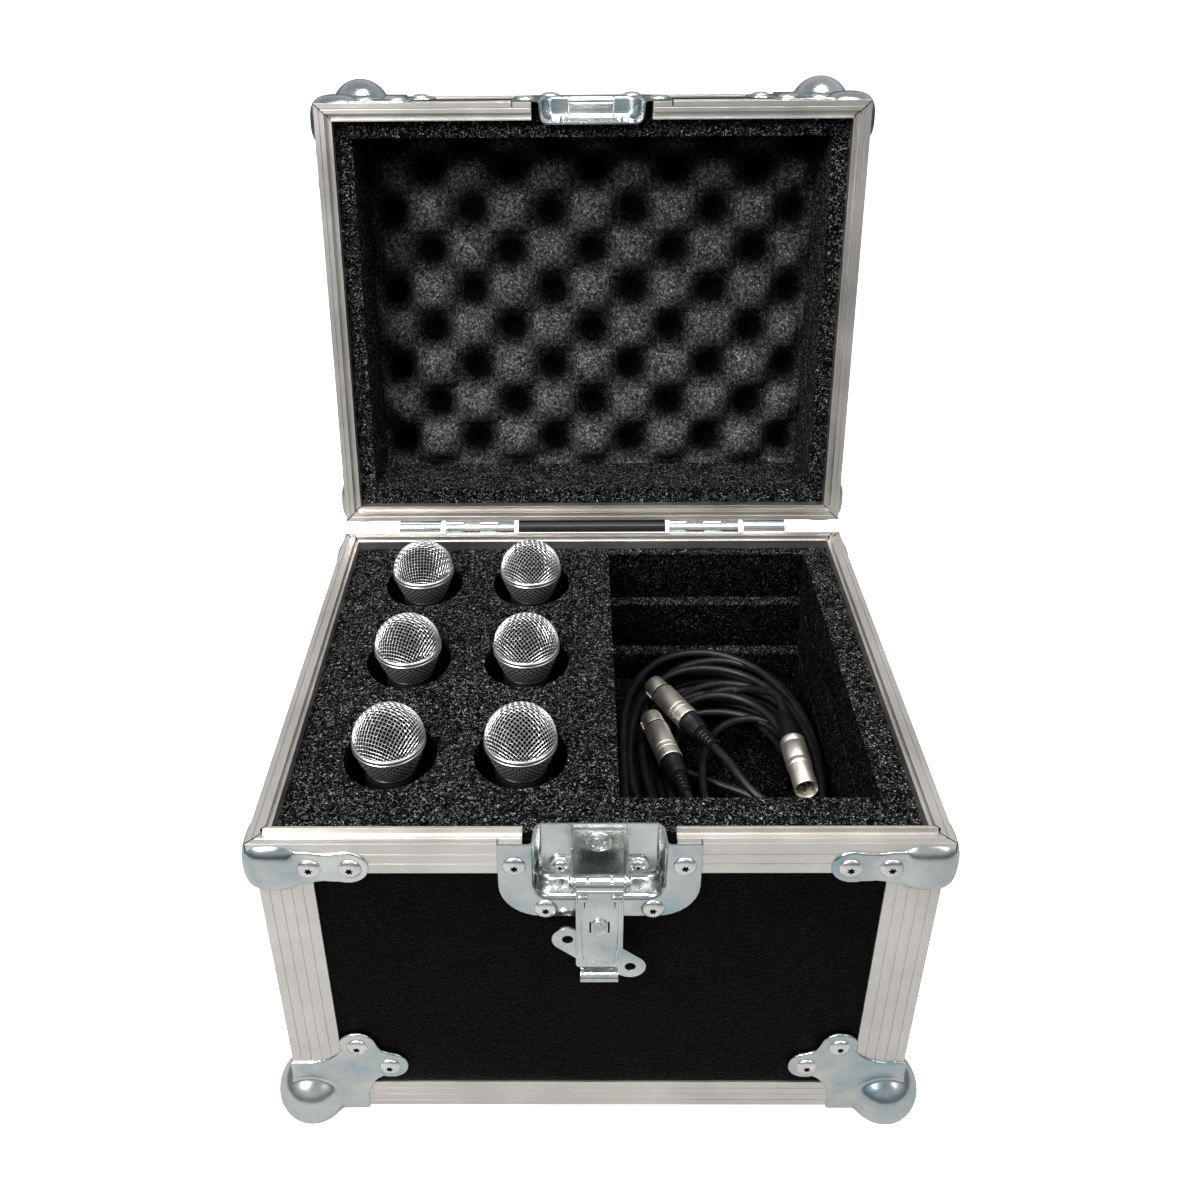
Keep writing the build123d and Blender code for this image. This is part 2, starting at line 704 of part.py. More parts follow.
lid_wall = wall_panel(width - 2 * skin, lid_height, lid_rim_web, 0)
lid_front_wall = wall_panel(width - 2 * skin, lid_height, lid_rim_web, lid_dish_height)
keep(turned_over(lid_front_wall), "lid_front_panel", lid=True)
keep(turned_over(mirror(lid_wall, about=mid_plane)), "lid_back_panel", lid=True)
keep(turned_over(side_panels(lid_height, lid_rim_web)), "lid_side_panels", lid=True)
keep(turned_over(floor_panel(lid_height)), "lid_top_panel", lid=True)
keep(turned_over(corner_angles(lid_height)), "lid_corner_angles", lid=True)
keep(turned_over(edge_angles(lid_height)), "lid_edge_angles", lid=True)
lid_profile = rim_profile(lid_rim_web, False, True)
keep(turned_over(front_rim(lid_profile)), "lid_front_rim", lid=True)
keep(turned_over(back_rim(lid_profile)), "lid_back_rim", lid=True)
keep(turned_over(side_rims(lid_profile)), "lid_side_rims", lid=True)
keep(turned_over(ball_corners(lid_height)), "lid_ball_corners", lid=True)
keep(turned_over(rim_braces()), "lid_rim_braces", lid=True)
keep(turned_over(latch_dish(lid_dish_height)), "lid_latch_dish", lid=True)

# ---------------------------------------------------------------- foam in the base
foam_half_x = half_width - inner - soft_clearance
foam_half_y = half_depth - inner - soft_clearance
panel_floor = -(base_height - angle_thickness - panel_thickness)
hole_spots = [(hole_left_x + column * hole_column_spacing, front + hole_front_inset + row * hole_row_spacing)
              for row in range(3) for column in range(2)]
grip_bottom = head_height - lower_grille_height - collar_height - grip_length


def foam_sheet(top, bottom, back_wall, holes):
    """A full-size foam sheet with six round holes and the cable compartment cut out."""
    with BuildPart() as sheet:
        with BuildSketch(Plane.XY.offset(bottom)):
            Rectangle(2 * foam_half_x, 2 * foam_half_y)
            with Locations(*hole_spots):
                RegularPolygon(holes, hole_sides, mode=Mode.SUBTRACT)
            with Locations((bay_left, bay_front)):
                Rectangle(bay_width, half_depth - back_wall - bay_front, align=(Align.MIN, Align.MIN),
                          mode=Mode.SUBTRACT)
        extrude(amount=top - bottom)
        dish_wide = 2 * (dish_half_width + soft_clearance)
        with BuildSketch(Plane.XY.offset(-base_dish_height - soft_clearance)):
            with Locations((0, front)):
                Rectangle(dish_wide, 2 * (dish_depth + soft_clearance))
        extrude(amount=base_dish_height, mode=Mode.SUBTRACT)
    return sheet.part


layer_tops = [-foam_drop, -foam_drop - foam_layer, -foam_drop - 2 * foam_layer]
layer_bottoms = [-foam_drop - foam_layer + soft_clearance, -foam_drop - 2 * foam_layer + soft_clearance,
                 -floor_layer_drop + soft_clearance]
keep(foam_sheet(layer_tops[0], layer_bottoms[0], bay_back_wall, hole_radius), "foam_top_sheet")
keep(foam_sheet(layer_tops[1], layer_bottoms[1], bay_back_wall + bay_step, grip_hole_radius),
     "foam_middle_sheet")
keep(foam_sheet(layer_tops[2], layer_bottoms[2], bay_back_wall + 2 * bay_step, grip_hole_radius),
     "foam_lower_sheet")

with BuildPart() as foam_block:
    with BuildSketch(Plane.XY.offset(panel_floor + soft_clearance)):
        Rectangle(2 * foam_half_x, 2 * foam_half_y)
    extrude(amount=-floor_layer_drop - panel_floor - soft_clearance)
    with BuildSketch(Plane.XY.offset(grip_bottom - soft_clearance)):
        with Locations(*hole_spots):
            RegularPolygon(grip_hole_radius, hole_sides)
    extrude(amount=-floor_layer_drop - grip_bottom + soft_clearance, mode=Mode.SUBTRACT)
keep(foam_block.part, "foam_floor_block")

# ---------------------------------------------------------------- foam in the lid
lid_ceiling = parting_gap + lid_height - angle_thickness - panel_thickness - soft_clearance
lining_bottom = parting_gap + rim_inner_leg + soft_clearance
with BuildPart() as lid_lining:
    with BuildSketch(Plane.XY.offset(lining_bottom)):
        for end in (-1, 1):
            with Locations((0, end * (foam_half_y - lining_thickness / 2))):
                Rectangle(2 * foam_half_x, lining_thickness)
            with Locations((end * (foam_half_x - lining_thickness / 2), 0)):
                Rectangle(lining_thickness, 2 * (foam_half_y - lining_thickness - soft_clearance))
    extrude(amount=lid_ceiling - lining_bottom)
    with BuildSketch(Plane.XY.offset(lining_bottom)):
        with Locations((0, front)):
            Rectangle(2 * (dish_half_width + soft_clearance), 2 * (dish_depth + soft_clearance))
    extrude(amount=parting_gap + lid_dish_height + soft_clearance - lining_bottom, mode=Mode.SUBTRACT)
keep(lid_lining.part, "lid_foam_lining", lid=True)

with BuildPart() as lid_crate_foam:
    with BuildSketch(Plane.XY.offset(crate_peak_height)):
        Rectangle(2 * (foam_half_x - lining_thickness - soft_clearance),
                  2 * (foam_half_y - lining_thickness - soft_clearance))
    extrude(amount=lid_ceiling - crate_peak_height)
keep(lid_crate_foam.part, "lid_crate_foam", lid=True)


# ---------------------------------------------------------------- microphones
def six(part):
    """The same piece in each of the six holes."""
    with BuildPart() as group:
        with Locations(*[(x, y, 0) for x, y in hole_spots]):
            add(part)
    return group.part


band_top = head_height + band_height / 2
band_bottom = head_height - band_height / 2
grille_bottom = head_height - lower_grille_height
grille_middle = (grille_bottom + band_bottom) / 2
collar_bottom = grille_bottom - collar_height
dome_latitudes = [radians(angle) for angle in range(0, 76, 25)]

dome = [(head_radius * cos(angle), band_top + head_radius * sin(angle)) for angle in dome_latitudes]
band = [(head_radius, band_bottom), (band_radius, band_bottom + edge_break),
        (band_radius, band_top - edge_break), (head_radius, band_top)]
basket = [(collar_radius, grille_bottom), (basket_bulge, grille_middle), (head_radius, band_bottom)]
collar = [(collar_radius - edge_break, collar_bottom), (collar_radius, collar_bottom + edge_break),
          (collar_radius, grille_bottom - edge_break), (collar_radius - edge_break, grille_bottom)]
for outline, label in ((dome, "domes"), (band, "bands"), (basket, "baskets"), (collar, "collars")):
    keep(six(faceted(outline, microphone_sides)), f"microphone_{label}")

with BuildPart() as grip:
    add(faceted([(grip_end_radius, grip_bottom),
                 (grip_end_radius + edge_break, grip_bottom + grip_end_height),
                 (grip_top_radius, collar_bottom)], microphone_sides))
    with BuildSketch(Plane.XY.offset(grip_bottom)):
        RegularPolygon(socket_radius, microphone_sides)
    extrude(amount=socket_depth, mode=Mode.SUBTRACT)
keep(six(grip.part), "microphone_grips")


# ---------------------------------------------------------------- cables
def bent_tube(points, diameter, name):
    """A cable along straight runs with the largest tangent arcs that its runs allow."""
    corners = [Vector(*point) for point in points]
    radii = []
    for before, here, after in zip(corners, corners[1:], corners[2:]):
        turn = radians((here - before).get_angle(after - here))
        shorter = min((here - before).length, (after - here).length)
        radii.append(0.45 * shorter / tan(turn / 2))
    print(name, "radii", [round(radius, 1) for radius in radii])
    with BuildPart() as tube:
        with BuildLine():
            path = FilletPolyline(*corners, radius=radii)
        with BuildSketch(Plane(origin=corners[0], z_dir=corners[1] - corners[0])) as section:
            RegularPolygon(diameter / 2, cable_sides)
        sweep()
    swept = section.sketch.area * path.length
    print(name, "length %.1f" % path.length, "volume ratio %.4f" % (tube.part.volume / swept))
    return tube.part


coil_x = bay_left + bay_width / 2
coil_a_bottom = -floor_layer_drop + soft_clearance
coil_b_bottom = coil_a_bottom + coil_thickness + soft_clearance
coil_top = coil_b_bottom + coil_thickness
rest_z = coil_top + shell_radius + soft_clearance


def coil(bottom):
    """The outer shape of a loose coil that fills the compartment's floor."""
    with BuildPart() as shape:
        with BuildSketch(Plane.XY.offset(bottom)):
            with Locations((coil_x, coil_y)):
                RectangleRounded(2 * coil_half_width, 2 * coil_half_length, coil_corner)
        extrude(amount=coil_thickness)
    return shape.part


def connector(start, toward, kind):
    """A cable connector lying on the coil, from its open end at `start` to the boot's end.
    Returns the shell, the insert and the boot, then the boot's end and direction."""
    direction = (Vector(*toward) - Vector(*start)).normalized()
    origin = Vector(start[0], start[1], rest_z)
    open_end = Plane(origin=origin, z_dir=direction)
    with BuildPart() as shell:
        with BuildSketch(open_end):
            Circle(shell_radius)
        extrude(amount=shell_length)
        with BuildSketch(open_end):
            Circle(insert_radius)
        extrude(amount=shell_length - shell_back_wall, mode=Mode.SUBTRACT)
    face = open_end.offset(insert_recess if kind == "plug" else socket_insert_recess)
    with BuildPart() as insert:
        with BuildSketch(face):
            Circle(insert_radius - running_clearance)
        extrude(amount=insert_length)
        with BuildSketch(face):
            with PolarLocations(contact_circle, 3, start_angle=30):
                RegularPolygon(contact_radius, contact_sides)
        if kind == "plug":
            extrude(amount=-contact_length)
        else:
            extrude(amount=contact_length, mode=Mode.SUBTRACT)
    boot_outline = [(boot_radius, shell_length), (boot_end_radius, shell_length + boot_length)]
    boot = open_end.location * faceted(boot_outline, microphone_sides)
    boot_end = origin + direction * (shell_length + boot_length)
    return shell.part, insert.part, boot, boot_end, direction


def cable(letter, bottom, ends):
    """One cable: its coil, and for each end a connector with a lead down into the coil.
    The leads are handed back, to be written as one piece for both cables."""
    keep(coil(bottom), f"cable_{letter}_coil")
    groups = {"shells": [], "inserts": [], "boots": []}
    leads = []
    for kind, (start, toward), lead in ends:
        shell, insert, boot, boot_end, direction = connector(start, toward, kind)
        route = [boot_end, boot_end + direction * lead_start, Vector(*lead, coil_top - lead_sunk)]
        print(letter, kind, "route", [[round(value, 1) for value in point] for point in route])
        leads.append(bent_tube(route, cable_diameter, f"cable_{letter}_{kind}"))
        for name, part in zip(groups, (shell, insert, boot)):
            groups[name].append(part)
    for name, parts in groups.items():
        with BuildPart() as pair:
            add(parts)
        keep(pair.part, f"cable_{letter}_{name}")
    return leads


leads_a = cable("a", coil_a_bottom, (
    ("socket", ((48.5, 64.0), (91.9, -11.0)), (106.0, -62.0)),
    ("plug", ((153.0, -54.0), (150.0, 20.0)), (128.0, 80.0))))
leads_b = cable("b", coil_b_bottom, (
    ("socket", ((44.3, 24.0), (67.0, -63.0)), (88.0, -104.0)),
    ("plug", ((158.0, -106.0), (74.0, -106.0)), (32.0, -78.0))))
with BuildPart() as cable_leads:
    add(leads_a + leads_b)
keep(cable_leads.part, "cable_leads")

# ---------------------------------------------------------------- open the lid, stand it up and write
hinge_axis = Axis((0, hinge_y, 0), (1, 0, 0))
placed = []
for part, lid in pieces:
    label = part.label
    solid = part.rotate(hinge_axis, -lid_open_angle) if lid else part
    solid.label = label
    placed.append(solid)

boxes = [solid.bounding_box() for solid in placed]
back_limit = max(box.max.Y for box in boxes)
front_limit = min(box.min.Y for box in boxes)
floor_level = min(box.min.Z for box in boxes)
stand = Location((0, -(front_limit + back_limit) / 2, -floor_level))
os.makedirs("parts", exist_ok=True)
for solid in placed:
    label = solid.label
    solid = solid.moved(stand)
    solid.label = label
    export_step(solid, f"parts/{label}.step")
print("pieces", len(placed), "shift", [round(value, 4) for value in stand.position])
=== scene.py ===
import random
from math import atan2, copysign, cos, hypot, pi, radians, sin

import bmesh
import bpy
from mathutils import Matrix, Vector, noise


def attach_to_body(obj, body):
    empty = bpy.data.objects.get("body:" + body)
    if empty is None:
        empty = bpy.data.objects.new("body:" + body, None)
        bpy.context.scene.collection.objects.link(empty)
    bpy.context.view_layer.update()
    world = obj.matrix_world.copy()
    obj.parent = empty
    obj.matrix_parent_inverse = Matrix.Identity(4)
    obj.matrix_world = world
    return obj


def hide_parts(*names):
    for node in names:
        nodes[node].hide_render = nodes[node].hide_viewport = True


# The looks of a flight case for microphones. Shapes are drawn in the part's modelling frame,
# in millimetres, with the lid shut, and BASE or LID carries them into the row frame.
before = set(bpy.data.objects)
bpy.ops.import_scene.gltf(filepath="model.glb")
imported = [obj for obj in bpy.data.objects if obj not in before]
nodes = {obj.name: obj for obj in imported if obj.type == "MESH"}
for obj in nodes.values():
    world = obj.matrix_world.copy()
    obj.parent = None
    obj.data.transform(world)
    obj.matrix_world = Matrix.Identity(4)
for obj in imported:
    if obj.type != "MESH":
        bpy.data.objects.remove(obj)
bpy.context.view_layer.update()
scene = bpy.context.scene
rng = random.Random(7)

MM = 0.001
SHIFT = Vector((0.0, -0.1018796, 0.2796256))  # the modelling frame's origin in the row frame
HINGE = Vector((0.0, 0.1825, 0.0))
LID_ANGLE = radians(98.0)  # how far the lid stands open at rest
PARTING_GAP = 0.2
BASE = Matrix.Translation(SHIFT) @ Matrix.Scale(MM, 4)
OPENED = Matrix.Translation(HINGE) @ Matrix.Rotation(-LID_ANGLE, 4, "X") @ Matrix.Translation(-HINGE)
LID = Matrix.Translation(SHIFT) @ OPENED @ Matrix.Scale(MM, 4)
# for hardware of the lid that is drawn as if it were on the base
LID_TURNED = LID @ Matrix.Translation((0.0, 0.0, PARTING_GAP)) @ Matrix.Diagonal((1.0, 1.0, -1.0, 1.0))
ON_BASE, ON_LID, ON_LID_TURNED = (BASE, "base_shell"), (LID, "lid"), (LID_TURNED, "lid")
HALVES = ((*ON_BASE, "base"), (*ON_LID_TURNED, "lid"))

# the case, in millimetres
HALF_W, HALF_D = 215.0, 175.0  # over the rims
BASE_H, LID_H = 264.0, 150.0
PROUD = 2.5  # the rims, outside the angles
PLATE = 1.5  # pressed steel
FRONT = -HALF_D - PLATE  # the face of the steel on the front
FOAM_X, FOAM_Y = 203.7, 163.7  # half the foam's width and depth
FLIPS = [Matrix.Diagonal((x, y, 1, 1)) for x in (1, -1) for y in (1, -1)]  # to the four corners
FRONT_OUT, SIDE_OUT, DOWN_OUT = Vector((0, -1, 0)), Vector((-1, 0, 0)), Vector((0, 0, -1))


def added(name, data):
    """A new object in the scene."""
    made = bpy.data.objects.new(name, data)
    scene.collection.objects.link(made)
    return made


def having(thing, **values):
    """Set a thing's properties and give it back."""
    for key, value in values.items():
        setattr(thing, key, value)
    return thing


# ---- camera
PITCH, YAW, ROLL = radians(28.686), radians(-0.602), radians(-0.525)
CAMERA_SPOT = (-0.01265, -0.7683196, 0.8114555)
forward = Vector((sin(YAW) * cos(PITCH), cos(YAW) * cos(PITCH), -sin(PITCH)))
level = Vector((cos(YAW), -sin(YAW), 0.0))
upright = level.cross(forward)
across = level * cos(ROLL) + upright * sin(ROLL)
upward = upright * cos(ROLL) - level * sin(ROLL)
camera = added("camera", having(bpy.data.cameras.new("camera"), lens=34.185, sensor_width=36.0,
                                shift_x=0.0278, shift_y=-0.1158, clip_start=0.02))
turned = Matrix((across, upward, -forward)).transposed().to_4x4()
camera.matrix_world = Matrix.Translation(CAMERA_SPOT) @ turned
scene.camera = camera


# ---- materials
def attach(tree, value, entry):
    """Link a socket to an input, or set a constant on it."""
    if isinstance(value, bpy.types.NodeSocket):
        tree.links.new(value, entry)
    else:
        entry.default_value = value


def node(tree, kind, **values):
    """A new node; each value is a property, or a constant or socket for an input."""
    made = tree.nodes.new(kind)
    for name, value in values.items():
        if hasattr(made, name):
            setattr(made, name, value)
        else:
            attach(tree, value, made.inputs[name.replace("_", " ")])
    return made


def maths(tree, operation, *values):
    made = node(tree, "ShaderNodeMath", operation=operation)
    for value, entry in zip(values, made.inputs):
        attach(tree, value, entry)
    return made.outputs[0]


def blend(tree, kind, factor, first, second):
    """A colour mixed from two; each argument is a socket or a constant."""
    made = node(tree, "ShaderNodeMix", data_type="RGBA", blend_type=kind)
    for value, entry in ((factor, 0), (first, 6), (second, 7)):
        attach(tree, value, made.inputs[entry])
    return made.outputs[2]


def ramp(tree, source, *stops):
    """A colour ramp through (position, (r, g, b) or grey) pairs."""
    made = node(tree, "ShaderNodeValToRGB", Fac=source)
    elements = made.color_ramp.elements
    while len(elements) < len(stops):
        elements.new(0.5)
    for element, (position, tone) in zip(elements, stops):
        element.position = position
        element.color = (tone, tone, tone, 1.0) if isinstance(tone, float) else (*tone, 1.0)
    return made.outputs["Color"]


def feed(tree, shader, **values):
    """Give a shader's inputs their sockets or constants."""
    for name, value in values.items():
        attach(tree, value, shader.inputs[name.replace("_", " ")])


def surface(name, **constants):
    """A new material, its tree, its Principled shader and the piece's own coordinates."""
    made = bpy.data.materials.new(name)
    made.use_nodes = True
    tree = made.node_tree
    shader = tree.nodes["Principled BSDF"]
    feed(tree, shader, **constants)
    return made, tree, shader, tree.nodes.new("ShaderNodeTexCoord").outputs["Object"]


def grain(tree, where, scale, detail=2.0, roughness=0.5):
    made = node(tree, "ShaderNodeTexNoise", Vector=where, Scale=scale, Detail=detail, Roughness=roughness)
    return made.outputs["Fac"]


def bump(tree, shader, height, distance, strength=1.0, **under):
    """Relief from a height; `Normal` in `under` is a normal that it lies on."""
    made = node(tree, "ShaderNodeBump", Height=height, Distance=distance, Strength=strength, **under)
    feed(tree, shader, Normal=made.outputs["Normal"])


def metal(name, dark, light, rough, brush=(1.0, 1.0, 1.0), edge=0.0, cloud=20.0, tint=None):
    """Bare or plated metal with cloudy tone, fine marks along `brush` and, where `edge` is a
    radius in metres, rounded edges."""
    made, tree, shader, where = surface(name, Metallic=1.0)
    tone = grain(tree, where, cloud, 4.0, 0.6)
    stops = [(0.3, dark), (0.7, light)] if tint is None else [(0.30, tint), (0.46, dark), (0.66, light)]
    brushed = node(tree, "ShaderNodeMapping", Vector=where, Scale=brush).outputs["Vector"]
    marks = grain(tree, brushed, 900.0, 3.0, 0.6)
    both = blend(tree, "MIX", 0.45, tone, marks)
    feed(tree, shader, Base_Color=ramp(tree, tone, *stops),
         Roughness=ramp(tree, both, (0.3, rough[0]), (0.7, rough[1])))
    under = {}
    if edge:
        soft = node(tree, "ShaderNodeBevel", samples=4, Radius=edge)
        under["Normal"] = soft.outputs["Normal"]
    bump(tree, shader, marks, 0.00004, 0.6, **under)
    return made


ZINC = (0.58, 0.60, 0.59), (0.78, 0.785, 0.755)
ZINC_BLUE = (0.36, 0.485, 0.53)
ALUMINIUM = (0.665, 0.632, 0.595), (0.815, 0.78, 0.735)
zinc = metal("zinc_plate", *ZINC, (0.17, 0.32), edge=0.0005, tint=ZINC_BLUE)
zinc_smooth = metal("zinc_plate_pressed", *ZINC, (0.15, 0.29), tint=ZINC_BLUE)
rivet_steel = metal("rivet_steel", (0.70, 0.69, 0.67), (0.88, 0.87, 0.85), (0.2, 0.34), cloud=90.0)
bars = {
    axis: metal("aluminium_" + axis, *ALUMINIUM, (0.34, 0.46), brush, edge=0.0004, cloud=14.0)
    for axis, brush in (("x", (0.04, 1, 1)), ("y", (1, 0.04, 1)), ("z", (1, 1, 0.04)), ("all", (1, 1, 1)))
}
mesh_wire = metal("grille_wire", 0.62, (0.84, 0.84, 0.83), (0.32, 0.46), cloud=300.0)
ring_metal = metal("grille_ring", 0.60, 0.78, (0.28, 0.42), cloud=60.0)
champagne = metal("satin_nickel", (0.84, 0.79, 0.70), (0.95, 0.91, 0.83), (0.42, 0.56), edge=0.0003,
                  cloud=70.0)
contact_gold = metal("contact_metal", (0.62, 0.58, 0.50), (0.80, 0.77, 0.68), (0.2, 0.3), cloud=200.0)


def laminate_material():
    """Black textured laminate: a fine pebble grain with dull tops and pale specks."""
    made, tree, shader, where = surface("black_laminate", Specular_IOR_Level=0.05)
    wander = node(tree, "ShaderNodeTexNoise", Vector=where, Scale=220.0, Detail=3.0)
    bent = node(tree, "ShaderNodeMix", data_type="VECTOR")
    for value, entry in ((0.0045, 0), (where, 4), (wander.outputs["Color"], 5)):
        attach(tree, value, bent.inputs[entry])
    pebble = node(tree, "ShaderNodeTexVoronoi", feature="SMOOTH_F1", Scale=750.0, Vector=bent.outputs[1])
    pebble = pebble.outputs["Distance"]
    cloud = grain(tree, where, 35.0, 5.0, 0.65)
    tone = ramp(tree, cloud, (0.3, (0.0012, 0.0012, 0.0011)), (0.75, (0.0042, 0.0041, 0.0039)))
    specks = ramp(tree, grain(tree, where, 640.0, 2.0, 0.7), (0.58, 0.0), (0.72, 0.022))
    feed(tree, shader, Base_Color=blend(tree, "ADD", 1.0, tone, specks),
         Roughness=ramp(tree, pebble, (0.1, 0.26), (0.7, 0.60)))
    bump(tree, shader, pebble, 0.0006)
    return made


def foam_material(name, dark, light, fleck, size=1.0, shaped=False):
    """Charcoal foam skinned with short curly fibres, some of them bright. A shaped foam has painted
    shade in its pits, nearly black, by the mesh's "peak" attribute."""
    made, tree, shader, where = surface(name, Roughness=0.95, Specular_IOR_Level=0.04)
    curl = node(tree, "ShaderNodeTexNoise", Vector=where, Scale=330.0 / size, Detail=3.0, Roughness=0.62,
                Distortion=2.8).outputs["Fac"]
    base = ramp(tree, grain(tree, where, 150.0 / size, 4.0, 0.75), (0.36, dark), (0.66, light))
    strand = ramp(tree, curl, (0.565, 0.0), (0.605, 0.8), (0.70, 1.0))
    colour = blend(tree, "MIX", strand, base, (*fleck, 1.0))
    hollow = node(tree, "ShaderNodeTexVoronoi", Vector=where, Scale=330.0 / size)
    shades = [ramp(tree, hollow.outputs["Distance"], (0.2, 1.0), (0.75, 0.30))]
    # painted shade: the convoluted foam's pits darkened nearly to black, from the "peak" attribute
    if shaped:
        height = node(tree, "ShaderNodeAttribute", attribute_name="peak")
        shades.append(ramp(tree, height.outputs["Fac"], (0.0, 0.02), (0.2, 0.07), (0.45, 0.5), (0.62, 0.9),
                           (1.0, 1.0)))
    for dimming in shades:
        colour = blend(tree, "MULTIPLY", 1.0, colour, dimming)
    feed(tree, shader, Base_Color=colour)
    bump(tree, shader, curl, 0.002)
    return made


def rubber(name, dark, light, rough, scale=500.0):
    """Rubber, plastic or enamel with a faint mottle."""
    made, tree, shader, where = surface(name, Specular_IOR_Level=0.4)
    tone = grain(tree, where, scale, 3.0)
    feed(tree, shader, Base_Color=ramp(tree, tone, (0.3, dark), (0.7, light)),
         Roughness=ramp(tree, tone, (0.25, rough[0]), (0.75, rough[1])))
    bump(tree, shader, grain(tree, where, scale * 5), 0.00008, 0.6)
    return made


laminate = laminate_material()
sheet_foam = foam_material("fibre_foam", (0.002, 0.002, 0.0022), (0.024, 0.0245, 0.025), (0.62, 0.62, 0.63))
# a darker copy of the fibre foam: painted shade on the upright faces of the sheets and on the floor block, in
# the cable well and the microphone holes
painted_shade_foam = foam_material("painted_shade_foam", (0.001, 0.001, 0.0011), (0.007, 0.007, 0.0073), (0.20, 0.20, 0.205))
crate_foam = foam_material("convoluted_foam", (0.058, 0.058, 0.06), (0.26, 0.262, 0.268),
                           (0.78, 0.785, 0.795), 0.9, True)
jacket = rubber("cable_jacket", (0.012, 0.012, 0.013), (0.024, 0.025, 0.027), (0.34, 0.48), 260.0)
boot_rubber = rubber("boot_plastic", (0.010, 0.010, 0.011), (0.018, 0.018, 0.020), (0.26, 0.40), 400.0)
mic_black = rubber("microphone_enamel", (0.012, 0.012, 0.013), (0.022, 0.022, 0.024), (0.28, 0.42))
# near-black: painted shade in the rivet sockets, in the latch arm's slots and inside the microphone grilles;
# also the dark mitre joints of the rims
shade_and_joint_black = rubber("painted_shade_and_joints", 0.004, 0.010, (0.75, 0.95))


# ---- making pieces
def place(name, mesh, matrix, body, slot, *materials, sharp=35.0):
    """Turn a mesh drawn in millimetres into a piece that rides on a body."""
    mesh.transform(matrix)
    if matrix.determinant() < 0:
        mesh.flip_normals()
    for material in materials:
        mesh.materials.append(material)
    mesh.polygons.foreach_set("use_smooth", [True] * len(mesh.polygons))
    mesh.set_sharp_from_angle(angle=radians(sharp))
    made = added(name, mesh)
    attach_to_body(made, body)
    return made


def finished(draft, name):
    mesh = bpy.data.meshes.new(name)
    draft.to_mesh(mesh)
    draft.free()
    return mesh


def outward(draft, name):
    """Finish a draft with all its faces turned outward."""
    bmesh.ops.recalc_face_normals(draft, faces=draft.faces)
    return finished(draft, name)


def modified(mesh, *steps):
    """A mesh after some modifiers, each a kind and its settings."""
    holder = added("draft", mesh)
    for kind, settings in steps:
        having(holder.modifiers.new(kind, kind), **settings)
    seen = holder.evaluated_get(bpy.context.evaluated_depsgraph_get())
    result = bpy.data.meshes.new_from_object(seen)
    bpy.data.objects.remove(holder)
    bpy.data.meshes.remove(mesh)
    return result


def repeated(source, matrices, name):
    """Copies of a mesh as one mesh; the source is left as it is."""
    group = bmesh.new()
    for matrix in matrices:
        copy = source.copy()
        copy.transform(matrix)
        if matrix.determinant() < 0:
            copy.flip_normals()
        group.from_mesh(copy)
        bpy.data.meshes.remove(copy)
    return finished(group, name)


def bridge(draft, low, high, closed=True, material=0):
    """Faces between two rows of vertices."""
    for k in range(len(low) if closed else len(low) - 1):
        after = (k + 1) % len(low)
        draft.faces.new((low[k], low[after], high[after], high[k])).material_index = material


def circle(sides):
    return [2 * pi * k / sides for k in range(sides)]


def polar(radius, angle, height=0.0):
    return Vector((radius * cos(angle), radius * sin(angle), height))


def lathe(draft, profile, matrix=Matrix(), sides=32, material=0):
    """Add a turned form about local Z through (radius, height) pairs, closed on the axis."""
    rings = []
    for radius, height in profile:
        angles = [0.0] if radius < 1e-6 else circle(sides)
        rings.append([draft.verts.new(matrix @ polar(radius, angle, height)) for angle in angles])
    for low, high in zip(rings, rings[1:]):
        for k in range(sides):
            after = k + 1
            ends = [low[k % len(low)], low[after % len(low)], high[after % len(high)], high[k % len(high)]]
            corners = list(dict.fromkeys(ends))
            if len(corners) > 2:
                draft.faces.new(corners).material_index = material


def prism(draft, outline, low, high, carry):
    """Add a plate between two heights of a local frame from its (x, y) outline."""
    rings = [[draft.verts.new(carry @ Vector((p[0], p[1], z))) for p in outline] for z in (low, high)]
    draft.faces.new(list(reversed(rings[0])))
    draft.faces.new(rings[1])
    bridge(draft, *rings)


def along(origin, direction, spin=0.0):
    """A frame at `origin` whose Z runs along `direction`."""
    turn = Vector(direction).normalized().to_track_quat("Z", "Y").to_matrix().to_4x4()
    return Matrix.Translation(origin) @ turn @ Matrix.Rotation(spin, 4, "Z")


def axes(*rows):
    """A frame given by the rows of its turn."""
    return Matrix(rows).to_4x4()


YZX = axes((0, 0, 1), (1, 0, 0), (0, 1, 0))  # X to Y, Y to Z, Z to X
ZXY = axes((0, 1, 0), (0, 0, 1), (1, 0, 0))


def bezier(a, b, c, count):
    a, b, c = Vector(a), Vector(b), Vector(c)
    return [a.lerp(b, t / count).lerp(b.lerp(c, t / count), t / count) for t in range(1, count + 1)]


def arc(centre, radius, first, last, count):
    angles = (radians(first + (last - first) * k / count) for k in range(count + 1))
    return [Vector(centre) + radius * Vector((cos(a), sin(a))) for a in angles]


def powered(value, power):
    return copysign(abs(value) ** power, value)


# ---- cables
CABLE = 6.5  # across the jacket
STEPS = 14  # points in each turn of a coil
LYING = -76.2  # the connectors' axes


def coil_points(turns, first, last, wind):
    """Loose turns, each (half width, half length, centre x, centre y, height), joined smoothly
    from one angle to another; `wind` is +1 anticlockwise from above and -1 clockwise."""
    points = []
    sweep = wind * (last - first) % 360 + 360 * (len(turns) - 2)
    count = round(STEPS * sweep / 360)
    for step in range(count + 1):
        turn, part = divmod(step / count * (len(turns) - 1), 1)
        now, after = turns[int(turn)], turns[min(int(turn) + 1, len(turns) - 1)]
        ease = part * part * (3 - 2 * part)
        half_x, half_y, x, y, z = (a + (b - a) * ease for a, b in zip(now, after))
        angle = radians(first + wind * sweep * step / count)
        points.append((x + half_x * powered(cos(angle), 0.9),
                       y + half_y * powered(sin(angle), 0.9), z))
    return points


